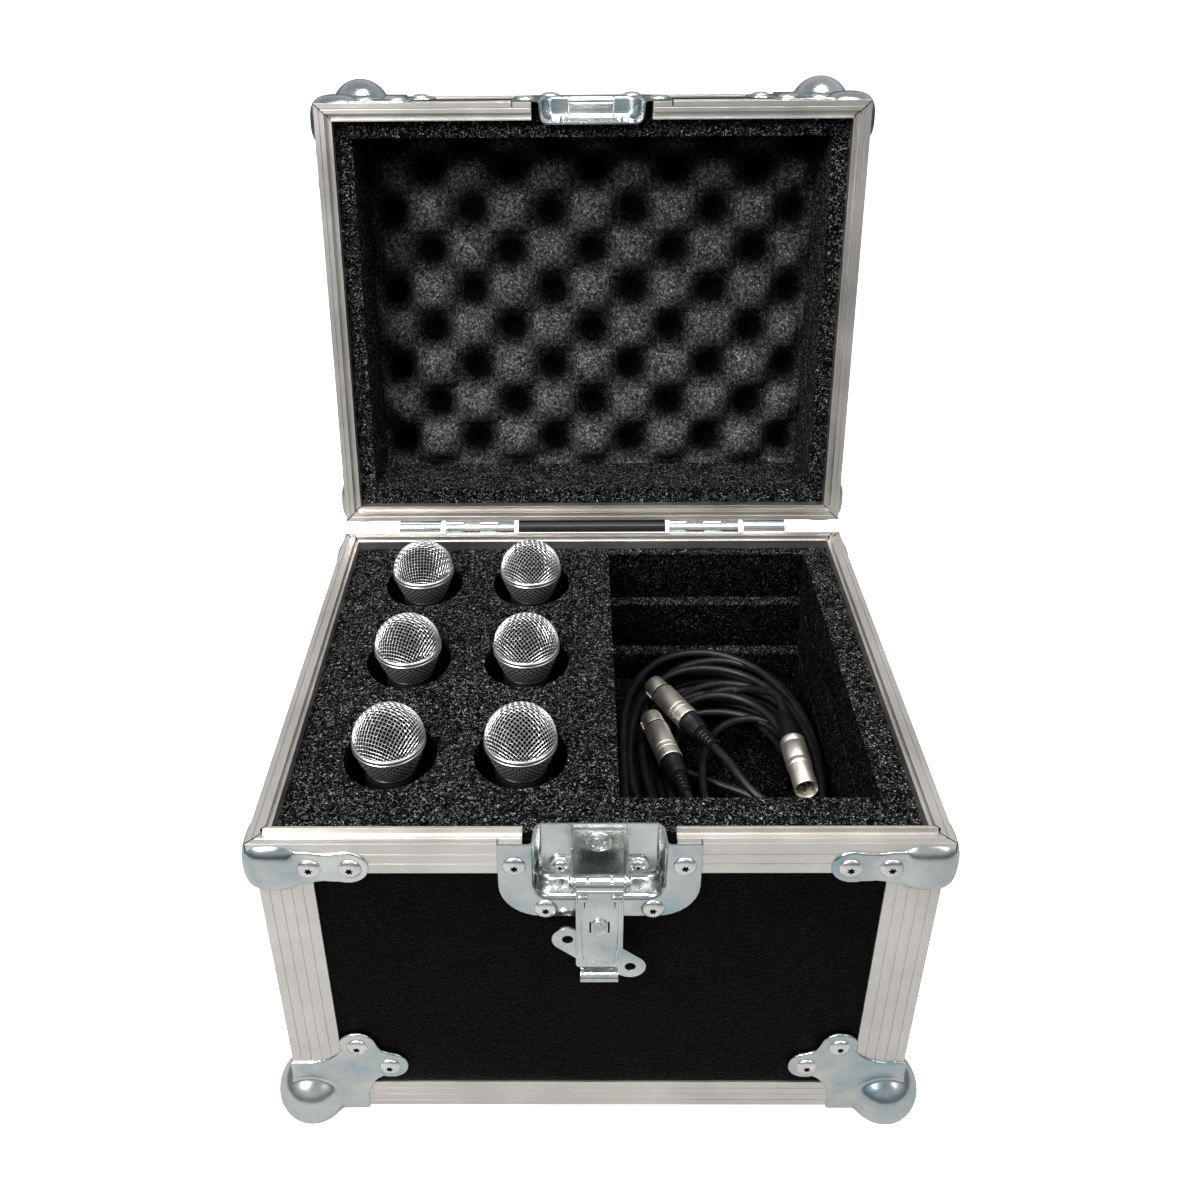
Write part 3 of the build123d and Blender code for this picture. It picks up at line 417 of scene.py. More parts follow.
def cable_curve(name, points):
    curve = having(bpy.data.curves.new(name, "CURVE"), dimensions="3D", bevel_depth=CABLE / 2 * MM,
                   bevel_resolution=5, resolution_u=6, use_fill_caps=True)
    spline = curve.splines.new("NURBS")
    spline.points.add(len(points) - 1)
    for point, spot in zip(spline.points, points):
        point.co = (*(BASE @ Vector(spot)), 1)
    having(spline, order_u=3, use_endpoint_u=True)
    curve.materials.append(jacket)
    made = added(name, curve)
    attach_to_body(made, "base_shell")
    return made


# the layers that the turns lie in
LOW_A, MID_A, TOP_A = -122, -115.4, -109
LOW_B, MID_B, TOP_B = -102.2, -95.7, -89.5
# cable A is doubled: wound one way, across the middle, then the other way back to its plug
route_a = [(90.57, -8.7, LYING), (100.6, -26, LYING), (107, -41, -78), (118, -56, -82), (134, -63, -87),
           (148, -60, -92)]
route_a += coil_points([
    (58, 70, 104, -20, -97), (60, 96, 106, -14, TOP_A), (77, 120, 97.5, 0, TOP_A), (52, 86, 118, -26, TOP_A),
    (64, 104, 104, -12, -112), (70, 112, 98, -4, LOW_A), (58, 84, 97, -8, MID_A)], -22, 128, 1)
route_a += [(54, 30, MID_A), (64, 6, -113), (92, -10, -112), (122, -24, -113), (144, -44, MID_A)]
route_a += coil_points([
    (58, 92, 97, -8, MID_A), (76, 119, 97.5, 0, LOW_A), (60, 94, 110, -18, LOW_A),
    (76, 119, 97.5, 1, MID_A), (50, 84, 99, -4, -99)], -46, 80, -1)
route_a += [(126, 78, -92), (147, 56, -78), (149.2, 44, LYING), (149.6, 29.93, LYING)]
# cable B is wound one way, over cable A
route_b = [(65.51, -57.28, LYING), (70.6, -76.6, LYING), (84, -99, -84)]
route_b += coil_points([
    (52, 84, 99, -24, TOP_B), (58, 94, 112, -18, TOP_B), (77, 126, 97.5, 8, -94), (67, 110, 105, -6, -93),
    (54, 88, 117, -24, MID_B), (44, 74, 126, -36, -99), (66, 104, 106, -10, LOW_B),
    (77.5, 121, 97.5, 0, LOW_B), (62, 100, 110, -16, -97), (77, 127, 97.5, 9, TOP_B)], -72, 190, 1)
route_b += [(21.5, -64, -84), (27, -87, -79), (38, -101, -76.6), (54, -106.3, LYING), (74, -106, LYING)]
cable_a = cable_curve("cable_a", route_a)
cable_b = cable_curve("cable_b", route_b)
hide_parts("cable_a_coil", "cable_leads")
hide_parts("cable_b_coil", "cable_leads")


# ---- pressed steel corners
LOBE_LONG, LOBE_SHORT = 68, 47  # a ball corner's lobes, along one edge and the other
BRACE_DROP = 19.5  # a brace's rivets, from the parting plane


def blown(draft, centre, radii, power):
    """Add a rounded, box-like ball; `power` below 1 squares it."""
    ball = bmesh.ops.create_icosphere(draft, subdivisions=4, radius=1)["verts"]
    for vert in ball:
        vert.co = Vector(centre) + Vector([r * powered(c, power) for r, c in zip(radii, vert.co)])


def pressed(draft, name, passes, keep_face):
    """Melt overlapping solids into one pressed shell and drop what lies inside the case."""
    shell = modified(finished(draft, name), ("REMESH", {"mode": "VOXEL", "voxel_size": 1}),
                     ("SMOOTH", {"factor": 0.5, "iterations": passes}), ("DECIMATE", {"ratio": 0.4}))
    trim = bmesh.new()
    trim.from_mesh(shell)
    inside = [face for face in trim.faces if not keep_face(face.calc_center_median())]
    bmesh.ops.delete(trim, geom=inside, context="FACES")
    trim.to_mesh(shell)
    trim.free()
    return shell


def flange_outline():
    """One of a ball corner's three plates, with a lobe along each of its edges."""
    ring = arc((LOBE_LONG, LOBE_SHORT), 13, -115, 80, 16)
    half = [Vector((50, -PLATE)), Vector((50, 13))]
    half += bezier(half[-1], (half[-1] + ring[0]) / 2 + Vector((-4, 4)), ring[0], 5) + ring[1:]
    last = ring[-1]
    valley = (last.x + last.y) / 2 - 2
    half += bezier(last, (last.x - 3, (last.y + valley) / 2 - 1), (valley, valley), 3)
    return [Vector((-PLATE, -PLATE))] + half + [p.yx for p in reversed(half[:-1])]


def ball_corner_mesh():
    """A bottom corner: its point at the origin and the case in the positive octant."""
    draft = bmesh.new()
    for turn in (Matrix(), YZX, ZXY):
        prism(draft, flange_outline(), -PLATE, 1.6, turn)
    blown(draft, (10, 10, 10), (25.5, 25.5, 25.5), 1)
    return pressed(draft, "ball_corner", 7, lambda c: min(c) < 0.5)


def brace_mesh():
    """A rim brace: the rim's corner at the origin, the case towards +X and +Y, the rim face up."""
    draft = bmesh.new()
    blown(draft, (14.5, 14.5, -21), (20.4, 20.4, 21.5), 0.66)
    leg = [(0, -32.5), (0, -6.5)]
    leg += bezier((34, -5), (42, -8.5), (49, -8), 4)
    leg += arc((61, -BRACE_DROP), 13, 95, -95, 14)
    leg += bezier((49, -31), (42, -30.5), (34, -34), 4)
    front_face, side_face = axes((1, 0, 0), (0, 0, -1), (0, 1, 0)), axes((0, 0, -1), (1, 0, 0), (0, 1, 0))
    for turn in (front_face, side_face):
        prism(draft, leg, -1.4, PLATE, turn)
    return pressed(draft, "rim_brace", 6,
                   lambda c: min(c.x, c.y) < 0.6 or (c.z < -24 and min(c.x, c.y) < 3.2))


def at_corners(mesh, kind, origin, matrix, body, half):
    """The four mirrored copies of a corner piece, standing for one CAD node."""
    name = f"{half}_{kind}_set"
    copies = repeated(mesh, [flip @ Matrix.Translation(origin) for flip in FLIPS], name)
    made = place(name, copies, matrix, body, "hardware", zinc_smooth, sharp=60)
    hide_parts(f"{half}_{kind}s")


ball_mesh, rim_brace = ball_corner_mesh(), brace_mesh()
for half, height in zip(HALVES, (BASE_H, LID_H)):
    at_corners(ball_mesh, "ball_corner", (-HALF_W + PROUD, -HALF_D + PROUD, -height), *half)
    at_corners(rim_brace, "rim_brace", (-HALF_W, -HALF_D, 0), *half)


# ---- rivets
def rivet(draft, matrix, radius, height):
    """A domed head with a star-shaped socket painted near-black as its shade; material 1 is the socket."""
    sides = 24
    dome = [(radius * wide, height * high) for wide, high in ((0.93, 0.45), (0.74, 0.8), (0.5, 0.96))]
    lathe(draft, [(radius, -0.2), (radius, 0.35)] + dome, matrix, sides)
    rings = []
    for scale, depth in ((0.5, 0.96), (0.36, 1), (0.33, 0.30)):
        ring = []
        for angle in circle(sides):
            star = 1 if scale == 0.5 else 0.78 + 0.22 * cos(6 * angle)
            ring.append(draft.verts.new(matrix @ polar(radius * scale * star, angle, height * depth)))
        rings.append(ring)
    for material, (outer, inner) in enumerate(zip(rings, rings[1:])):
        bridge(draft, outer, inner, material=material)
    draft.faces.new(rings[-1]).material_index = 1


def spun(origin, direction):
    """A rivet's frame, turned at random about its own axis."""
    return along(origin, direction, rng.uniform(0, pi))


def rivet_set(name, spots, matrix, body, radius=7.4, height=2.4):
    """One piece with a rivet at each (origin, direction)."""
    draft = bmesh.new()
    for origin, direction in spots:
        rivet(draft, spun(origin, direction), radius, height)
    place(name, finished(draft, name), matrix, body, "hardware", rivet_steel, shade_and_joint_black, sharp=50)


def corner_spots(height):
    """Rivets of the ball corners and braces, at all four corners."""
    spots = []
    edge_x, edge_y = -HALF_W + PROUD, -HALF_D + PROUD
    for long, short in ((LOBE_LONG, LOBE_SHORT), (LOBE_SHORT, LOBE_LONG)):
        spots.append(((edge_x + long, edge_y - PLATE, -height + short), FRONT_OUT))
        spots.append(((edge_x - PLATE, edge_y + long, -height + short), SIDE_OUT))
        spots.append(((edge_x + long, edge_y + short, -height - PLATE), DOWN_OUT))
    for run in (37.4, 62.4):
        spots.append(((-HALF_W + run, FRONT, -BRACE_DROP), FRONT_OUT))
        spots.append(((-HALF_W - PLATE, -HALF_D + run, -BRACE_DROP), SIDE_OUT))
    mirrored = []
    for flip in FLIPS:
        mirrored += [(flip @ Vector(origin), flip @ direction) for origin, direction in spots]
    return mirrored


def flange_spots(lower):
    """Rivets of a latch dish's flange: two beside the pan and two at the height `lower`."""
    spots = ((-52, -17.5), (52, -17.5), (-33.4, lower), (33.4, lower))
    return [((x, FRONT, z), FRONT_OUT) for x, z in spots]


rivet_set("base_rivets", corner_spots(BASE_H) + flange_spots(-54.8), *ON_BASE)
rivet_set("lid_rivets", corner_spots(LID_H) + flange_spots(-68.3), *ON_LID_TURNED)


# ---- latch dishes
PAN_HALF, PAN_CORNER = 40, 10.5
MOUTH = 3.6  # radius of the bend from the flange into the pan


def u_shape(half_width, bottom, corner):
    """Points down one side, along the bottom and up the other, as (x, z)."""
    half = [Vector((half_width, 0)), Vector((half_width, -(bottom - corner) * 0.5))]
    half += arc((half_width - corner, -bottom + corner), corner, 0, -90, 8)
    half += [Vector((half_width * 0.3, -bottom))]
    return half + [Vector((-p.x, p.y)) for p in reversed(half)]


def dish_mesh(height):
    """The pressed pan and flange as one folded sheet, drawn on the front of the base."""
    pan = height - PLATE
    # each loop's half width, bottom and corner, and its depth
    loops = [((62.5, height + 15.5, 27), 5.3), ((62.5, height + 15.5, 27), 0.7),
             ((62.2, height + 15.2, 26.7), 0.2), ((61.7, height + 14.7, 26.2), 0),
             ((PAN_HALF + MOUTH, pan + MOUTH, PAN_CORNER + MOUTH), 0)]
    for angle in (18, 36, 54, 72, 90):
        swing, dip = sin(radians(angle)), cos(radians(angle))
        reach = MOUTH * (1 - swing)
        loops.append(((PAN_HALF + reach, pan + reach, PAN_CORNER + reach), MOUTH * (1 - dip)))
    for angle in (0, 15, 30, 45, 60, 75, 90):
        swing, dip = cos(radians(angle)), sin(radians(angle))
        inset = 0.8 + 5 * (1 - swing)
        shape = (PAN_HALF - inset, pan - inset, max(PAN_CORNER - inset, 3))
        loops.append((shape, 12 + 5 * dip))
    draft = bmesh.new()
    rings = [[draft.verts.new((p.x, FRONT + depth, p.y)) for p in u_shape(*shape)]
             for shape, depth in loops]
    for outer, inner in zip(rings, rings[1:]):
        bridge(draft, outer, inner, closed=False)
    last = rings[-1]
    count = len(last)
    for k in range(count // 2 - 1):
        draft.faces.new((last[k], last[k + 1], last[count - 2 - k], last[count - 1 - k]))
    bmesh.ops.recalc_face_normals(draft, faces=draft.faces)
    if max(draft.faces, key=lambda face: face.calc_area()).normal.y > 0:
        bmesh.ops.reverse_faces(draft, faces=draft.faces)
    return modified(finished(draft, "dish_sheet"), ("SOLIDIFY", {"thickness": 1.3, "offset": -1}))


for (matrix, body, half), height in zip(HALVES, (46.5, 60)):
    dish = place(half + "_dish_sheet", dish_mesh(height), matrix, body, "hardware", zinc_smooth, sharp=50)
    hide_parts(half + "_latch_dish")


# ---- nodes kept from the CAD
def paint(material, *names):
    """Give CAD nodes their material."""
    for name in names:
        mesh = nodes[name].data
        mesh.materials.clear()
        mesh.materials.append(material)


paint(zinc, "latch_bracket", "latch_pin", "latch_arm", "latch_hook", "latch_wing", "latch_guide_rivet",
      "lid_strike", "base_hinge_leaves", "lid_hinge_leaves", "hinge_pins")
paint(laminate, *[name for name in nodes if name.endswith(("_panel", "_panels"))])
for half in ("base", "lid"):
    paint(bars["x"], half + "_front_rim", half + "_back_rim")
    paint(bars["y"], half + "_side_rims")
    paint(bars["z"], half + "_corner_angles")
    paint(bars["all"], half + "_edge_angles")


# ---- foam
CUT_EDGE = 0.8  # how far a cut edge is rounded
HOLES = [(x, y) for y in (-90, 10, 110) for x in (-139, -51)]


def cut_sheet(name, outlines, low, high):
    """A sheet cut from foam: the first outline is its edge and the others are holes."""
    curve = having(bpy.data.curves.new(name, "CURVE"), dimensions="2D", fill_mode="BOTH", bevel_resolution=2,
                   extrude=(high - low) / 2 - CUT_EDGE, bevel_depth=CUT_EDGE, offset=-CUT_EDGE)
    for outline in outlines:
        spline = curve.splines.new("POLY")
        spline.points.add(len(outline) - 1)
        for point, spot in zip(spline.points, outline):
            point.co = (*spot, 0, 1)
        spline.use_cyclic_u = True
    holder = bpy.data.objects.new("draft", curve)
    mesh = bpy.data.meshes.new_from_object(holder)
    bpy.data.objects.remove(holder)
    mesh.transform(Matrix.Translation((0, 0, (low + high) / 2)))
    return mesh


def foam_outline(notched):
    """A sheet's edge; the top sheet has a notch behind the latch dish."""
    notch = [(-41.8, -FOAM_Y), (-41.8, -157.7), (41.8, -157.7), (41.8, -FOAM_Y)] if notched else []
    return [(-FOAM_X, -FOAM_Y), *notch, (FOAM_X, -FOAM_Y), (FOAM_X, FOAM_Y), (-FOAM_X, FOAM_Y)]


def bay(back):
    """The opening for the cables, which reaches back to `back`."""
    return [(14, -129), (14, back), (181, back), (181, -129)]


def round_hole(centre, radius):
    """A hole cut by hand in foam: round, with a slight wander."""
    phase = rng.uniform(0, 6)
    spots = []
    for turn in circle(56):
        angle = -turn
        wander = radius + 0.35 * sin(3 * angle + phase) + rng.uniform(-0.25, 0.25)
        spots.append((centre[0] + wander * cos(angle), centre[1] + wander * sin(angle)))
    return spots


for name, node_name, low, high, back, radius in (
        ("foam_sheet_upper", "foam_top_sheet", -52.7, -8, 153, 31.2),
        ("foam_sheet_middle", "foam_middle_sheet", -97.7, -53, 142, 19),
        ("foam_sheet_lower", "foam_lower_sheet", -125.7, -98, 131, 19)):
    shapes = [foam_outline(node_name == "foam_top_sheet"), bay(back)]
    shapes += [round_hole(centre, radius) for centre in HOLES]
    sheet = place(name, cut_sheet(name, shapes, low, high), *ON_BASE, "foam", sheet_foam, painted_shade_foam,
                  sharp=70)
    # upright faces take the darker foam, as painted shade on the walls of the well and the holes
    for polygon in sheet.data.polygons:
        if abs(polygon.normal.z) < 0.5:
            polygon.material_index = 1
    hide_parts(node_name)

paint(sheet_foam, "lid_foam_lining")
# the floor block takes the darker foam too, as painted shade at the bottom of the well and the holes
paint(painted_shade_foam, "foam_floor_block")

CRATE_X, CRATE_Y = 187.9, 147.9
CRATE_PITCH = 34.7  # pit to peak
CRATE_START = (2, -47)  # a pit
CRATE_MEAN, CRATE_WAVE = 72, 14
CRATE_PEAK, CRATE_BACK = 58.05, 141.3  # heights that the peaks stop at and that the back lies at


def crate_height(x, y):
    """Where the convoluted face lies over a spot."""
    wander = noise.noise_vector(Vector((x * 0.02, y * 0.02, 3))) * 2.2
    u = (x + wander.x - CRATE_START[0]) / CRATE_PITCH
    v = (y + wander.y - CRATE_START[1]) / CRATE_PITCH
    wave = cos(pi * u) * cos(pi * v)
    shaped = wave ** 1.25 if wave > 0 else -abs(wave) ** 0.6
    edge = min(CRATE_X - abs(x), CRATE_Y - abs(y), 12) / 12
    coarse, fine = noise.noise(Vector((x * 0.22, y * 0.22, 9))), noise.noise(Vector((x, y, 1)))
    rough = 0.5 * coarse + 0.25 * fine
    return max(CRATE_MEAN + CRATE_WAVE * shaped * (0.45 + 0.55 * edge) + 0.5 * rough, CRATE_PEAK)


def crate_mesh():
    """Convoluted foam: a staggered field of rounded peaks and pits over a flat back."""
    columns, rows = 236, 186
    draft = bmesh.new()
    grid = []
    for row in range(rows + 1):
        y = -CRATE_Y + 2 * CRATE_Y * row / rows
        line = []
        for column in range(columns + 1):
            x = -CRATE_X + 2 * CRATE_X * column / columns
            line.append(draft.verts.new((x, y, crate_height(x, y))))
        grid.append(line)
    for low_line, high_line in zip(grid, grid[1:]):
        for k in range(columns):
            draft.faces.new((low_line[k], high_line[k], high_line[k + 1], low_line[k + 1]))
    top = [draft.verts.new((x * CRATE_X, y * CRATE_Y, CRATE_BACK))
           for x, y in ((-1, -1), (1, -1), (1, 1), (-1, 1))]
    draft.faces.new(top)
    edges = (grid[0], [line[-1] for line in grid], grid[-1][::-1], [line[0] for line in reversed(grid)])
    for k, edge in enumerate(edges):
        draft.faces.new(edge + [top[(k + 1) % 4], top[k]])
    mesh = finished(draft, "crate_foam")
    # "peak" runs from 0 in the pits to 1 on the peaks; the foam material paints shade in the pits from it
    height = mesh.attributes.new("peak", "FLOAT", "POINT")
    for vert, value in zip(mesh.vertices, height.data):
        value.value = min(max((CRATE_MEAN + CRATE_WAVE - vert.co.z) / (2 * CRATE_WAVE), 0), 1)
    return mesh


crate = place("lid_convoluted_foam", crate_mesh(), *ON_LID, "foam", crate_foam, sharp=75)
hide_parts("lid_crate_foam")


# ---- microphones
HEAD = 7.5  # the dome's centre above the parting plane


def wire_ball(radius, pitch):
    """Woven wire pressed over the top half of a ball: square cells that spread at the sides."""
    draft = bmesh.new()
    half = int(radius * pi / 2 / pitch) + 1
    spots = {}
    for i in range(-half, half + 1):
        for j in range(-half, half + 1):
            reach = hypot(i, j) * pitch / radius
            if reach > pi / 2 + 0.02:
                continue
            swing = atan2(j, i)
            reach = min(reach, pi / 2)
            weave = 0.22 if (i + j) % 2 else -0.22
            ball = radius + weave * (cos(reach) * 0.6 + 0.4)
            spots[i, j] = draft.verts.new(polar(ball * sin(reach), swing, ball * cos(reach)))
    for (i, j), vert in spots.items():
        corners = [vert, spots.get((i + 1, j)), spots.get((i + 1, j + 1)), spots.get((i, j + 1))]
        if None not in corners:
            draft.faces.new(corners)
    wires = {"thickness": 0.8, "use_even_offset": False, "use_boundary": True}
    return modified(finished(draft, "wire_ball"), ("WIREFRAME", wires))


def grille_cloth():
    """Fine wire cloth for the lower basket, woven by its own coordinates."""
    made, tree, shader, _ = surface("basket_cloth", Metallic=0.85)
    cloth = tree.nodes.new("ShaderNodeTexCoord").outputs["UV"]
    parts = node(tree, "ShaderNodeSeparateXYZ", Vector=cloth)
    waves = [maths(tree, "COSINE", maths(tree, "MULTIPLY", parts.outputs[axis], 2 * pi))
             for axis in ("X", "Y")]
    height = node(tree, "ShaderNodeMapRange", From_Min=-1.0, Value=maths(tree, "MAXIMUM", *waves))
    height = height.outputs["Result"]
    # the openings between the wires are painted near-black, as painted shade of the basket's inside
    feed(tree, shader, Base_Color=ramp(tree, height, (0.50, 0.006), (0.78, 0.90)),
         Roughness=ramp(tree, height, (0.5, 0.9), (0.85, 0.38)))
    bump(tree, shader, height, 0.0005)
    return made


def unwrap_turned(mesh, around, up):
    """Coordinates for cloth on a turned form: `around` cells in a turn, `up` millimetres a cell."""
    layer = mesh.uv_layers.new(name="cloth")
    for polygon in mesh.polygons:
        middle = atan2(polygon.center.y, polygon.center.x)
        for loop in polygon.loop_indices:
            spot = mesh.vertices[mesh.loops[loop].vertex_index].co
            angle = atan2(spot.y, spot.x)
            angle += 2 * pi * round((middle - angle) / (2 * pi))
            cell, rise = angle / (2 * pi) * around, spot.z / up
            layer.data[loop].uv = (cell + rise, cell - rise)


def turned_mesh(name, profile, sides=64):
    draft = bmesh.new()
    lathe(draft, profile, sides=sides)
    return outward(draft, name)


def collar_mesh():
    """The black collar under the grille, with small vertical slots."""
    draft = bmesh.new()
    lathe(draft, [(16.9, -33), (17.8, -32.2), (18, -31), (18, -27.6), (17.5, -27.2), (17.5, -26.6),
                  (18, -26.2), (18, -20.6), (17.2, -18.4), (16.4, -17.6)], sides=64)
    bmesh.ops.recalc_face_normals(draft, faces=draft.faces)
    outline = arc((0, -1.2), 0.7, 180, 360, 6) + arc((0, 1.2), 0.7, 0, 180, 6)
    for k in range(6):
        turn = Matrix.Rotation(radians(60 * k + 30), 4, "Z") @ Matrix.Translation((18, 0, -23.9))
        prism(draft, outline, -0.4, 0.25, turn @ YZX)
    return finished(draft, "collar")


basket_cloth = grille_cloth()
wire_mesh = wire_ball(23.7, 2.7)
wire_mesh.transform(Matrix.Diagonal((1, 1, 0.93, 1)))
slopes = [radians(6 * k) for k in range(16)]
inner_ball = turned_mesh("inner_ball", [(22.4 * sin(a), 20.6 * cos(a)) for a in slopes], 48)
band_mesh = turned_mesh("band", [
    (23, 2.2), (24.3, 2.5), (24.75, 3), (24.75, 4.4), (24.4, 4.75), (24.4, 5.1), (24.75, 5.4),
    (24.8, 6.6), (24.45, 7.3), (23.6, 7.8), (22.8, 7.6)])
basket_mesh = turned_mesh("basket", [
    (16.9, -16.4), (17.6, -15.2), (19.2, -11.5), (20.9, -7.5), (22.3, -3.5), (23.4, 0), (23.9, 2.6)])
unwrap_turned(basket_mesh, 34, 4.2)
foot_ring = turned_mesh("foot_ring", [
    (16.6, -18.4), (17.3, -18.2), (17.6, -17.4), (17.5, -16.6), (16.9, -16.1)])
grip = turned_mesh("grip", [
    (0, -139), (8.4, -139), (8.5, -150.2), (9, -151), (10.9, -151), (11.5, -150.2),
    (11.7, -143), (12.5, -135), (14.2, -100), (16.2, -60), (17.3, -40), (17.4, -34.2),
    (16.7, -33)], 40)


def per_microphone(name, source, slot, node_name, material, lift=0, turn=False, sharp=40):
    """One piece with the six copies of a microphone's part."""
    spots = [Matrix.Translation((x, y, lift)) @ Matrix.Rotation(rng.uniform(0, 2 * pi) if turn else 0, 4, "Z")
             for x, y in HOLES]
    made = place(name, repeated(source, spots, name), *ON_BASE, slot, material, sharp=sharp)
    if node_name:
        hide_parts(node_name)


per_microphone("microphone_wire_domes", wire_mesh, "mesh", "microphone_domes", mesh_wire, lift=HEAD,
               turn=True, sharp=60)
# a near-black ball inside each wire dome: painted shade inside the grille
per_microphone("microphone_inner_balls", inner_ball, "mesh", None, shade_and_joint_black, lift=HEAD)
per_microphone("microphone_rings", band_mesh, "mesh_ring", "microphone_bands", ring_metal)
per_microphone("microphone_lower_baskets", basket_mesh, "mesh", "microphone_baskets", basket_cloth)
per_microphone("microphone_foot_rings", foot_ring, "microphone_body", None, mic_black)
per_microphone("microphone_slotted_collars", collar_mesh(), "microphone_body", "microphone_collars",
               mic_black)
per_microphone("microphone_handles", grip, "microphone_body", "microphone_grips", mic_black)


# ---- cable connectors
def groove(z, floor, width):
    """A groove round a shell, in (radius, distance from the open end) pairs."""
    return [(9.5, z), (floor, z + 0.4), (floor, z + width - 0.4), (9.5, z + width)]


SHELL_END = [(9.5, 49.4), (9, 50), (7, 50)]
PLUG_SHELL = [(7.7, 12), (7.8, 0.5), (8.1, 0), (8.55, 0), (8.8, 0.4), (8.8, 21), (9, 21.6), (9.4, 22),
              (9.5, 22.8)] + groove(25.5, 9.2, 1.6) + groove(43, 9.2, 1.6) + SHELL_END
SOCKET_SHELL = [(6.9, 1.6), (7.1, 0.3), (7.5, 0), (7.9, 0.1), (8.3, 0.8), (8.75, 11), (8.75, 12.2),
                (8.4, 12.4), (8.4, 14.1), (9.1, 14.3), (9.5, 14.9)]
SOCKET_SHELL += groove(37, 9.15, 1.7) + groove(41.5, 9.15, 1.7) + SHELL_END
BOOT = [(7, 49.6), (8.7, 49.8), (8.9, 50.6), (8.9, 53), (8.6, 53.6), (8.2, 62), (7.2, 66.5), (6.3, 67)]
for k in range(5):
    z, radius = 67.2 + 3.4 * k, 6 - 0.34 * k
    BOOT += [(radius - 0.9, z), (radius, z + 0.3), (radius, z + 2), (radius - 0.9, z + 2.4)]
BOOT += [(4, 84), (3.3, 84)]


def fins(draft, matrix, count, radius, low, high, wide, deep, taper=0):
    """Raised bars round a turned form."""
    for k in range(count):
        turn = matrix @ Matrix.Rotation(2 * pi * (k + 0.5) / count, 4, "Z")
        corners = []
        for z, lean in ((low, 0), (high, taper)):
            for r in (radius - 1, radius + deep - lean):
                for w in (-wide / 2, wide / 2):
                    corners.append(draft.verts.new(turn @ Vector((r - (lean if r < radius else 0), w, z))))
        a, b, c, d, e, f, g, h = corners
        for face in ((c, d, h, g), (a, c, g, e), (b, f, h, d), (e, g, h, f), (a, b, d, c)):
            draft.faces.new(face)


def connector(name, cable, start, toward, plug, spin):
    """A three-contact cable connector from its open end to its boot, in three pieces."""
    ahead = Vector((toward[0] - start[0], toward[1] - start[1], 0)).normalized()
    frame_at = along((*start, LYING), ahead, spin)
    shell, insert, boot = bmesh.new(), bmesh.new(), bmesh.new()
    if plug:
        outer, contact = PLUG_SHELL, [(1.15, 11), (1.15, 3.6), (0.8, 2.9), (0, 2.7)]
        lathe(insert, [(0, 11), (7.7, 11), (7.7, 14)], frame_at, 32)
    else:
        outer, contact = SOCKET_SHELL, [(1.5, 0.9), (1.35, 0.8), (1.2, 1.1), (0, 1.1)]
        lathe(insert, [(0, 1), (6.9, 1), (6.95, 2.4)], frame_at, 32)
        lathe(insert, [(8.45, 12.5), (8.78, 12.7), (8.78, 13.7), (8.45, 14)], frame_at, 32)
        fins(shell, frame_at, 1, 9.2, 4, 12, 4.2, 0.5)
    for k in range(3):
        turn = frame_at @ Matrix.Rotation(radians(30 + 120 * k), 4, "Z")
        lathe(insert, contact, turn @ Matrix.Translation((4, 0, 0)), 14, 1)
    lathe(shell, outer, frame_at, 48)
    lathe(boot, BOOT, frame_at, 36)
    fins(boot, frame_at, 6, 8.4, 50.6, 65, 3, 0.5, 1.3)
    made = []
    for draft, part, slot, first, second in (
            (shell, "shell", "connector_shell", champagne, champagne),
            (insert, "insert", "connector_insert", boot_rubber, contact_gold),
            (boot, "boot", "cable_jacket", boot_rubber, boot_rubber)):
        label = f"{name}_{part}"
        piece = place(label, outward(draft, label), *ON_BASE, slot, first, second, sharp=38)
        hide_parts(f"{cable}_{part}s")
        made.append(piece)
    return made


on_a = connector("cable_a_socket", "cable_a", (48.5, 64), (91.9, -11), False, 0.4)
on_a += connector("cable_a_plug", "cable_a", (153, -54), (150, 20), True, 0.9)
on_b = connector("cable_b_socket", "cable_b", (44.3, 24), (67, -63), False, 0.2)
on_b += connector("cable_b_plug", "cable_b", (158, -106), (74, -106), True, 0.5)


# ---- latch details
PAN_BACK = -159.5  # the front of the dish's bottom
ARM_FRONT = -187
GUIDE_Z = -59
EAR_X, EAR_Z = 24.5, -34


def ring_plate(draft, matrix, outer, inner, thick):
    """A washer with eased edges, standing on its frame's origin plane."""
    lathe(draft, [(inner, 0), (inner, thick - 0.2), (inner + 0.2, thick), (outer - 0.35, thick),
                  (outer, thick - 0.35), (outer, 0)], matrix, 40)


def bead(draft, path, radius, sides=8):
    """A raised line pressed along a path of points, tapering into the sheet at both ends."""
    rings = []
    for k, spot in enumerate(path):
        before, after = path[max(k - 1, 0)], path[min(k + 1, len(path) - 1)]
        turn = along(spot, Vector(after) - Vector(before))
        size = radius * (0.15 if k in (0, len(path) - 1) else 1)
        rings.append([draft.verts.new(turn @ polar(size, angle)) for angle in circle(sides)])
    for low, high in zip(rings, rings[1:]):
        bridge(draft, low, high)
    draft.faces.new(rings[0])
    draft.faces.new(rings[-1])


def bracket_details():
    """Washers and rivets on the bracket's ears, its boss with a ring, and the sheet's rolled edge."""
    draft = bmesh.new()
    face = PAN_BACK - PLATE
    for side in (-1, 1):
        ring_plate(draft, along((side * EAR_X, face, EAR_Z), FRONT_OUT), 6.9, 4, 0.7)
        rivet(draft, spun((side * EAR_X, face - 0.5, EAR_Z), FRONT_OUT), 4.6, 2)
    boss = along((0, face, -13.5), FRONT_OUT)
    ring_plate(draft, boss, 8.4, 6.6, 0.8)
    lathe(draft, [(4.8, 0), (4.6, 1.5), (3.9, 1.9), (3.5, 1.3), (2.6, 1), (0, 1.25)], boss, 32)
    bead(draft, [(x, -173.5, -30.2) for x in (-16, -15, 0, 15, 16)], 1.1)
    return finished(draft, "bracket_details")


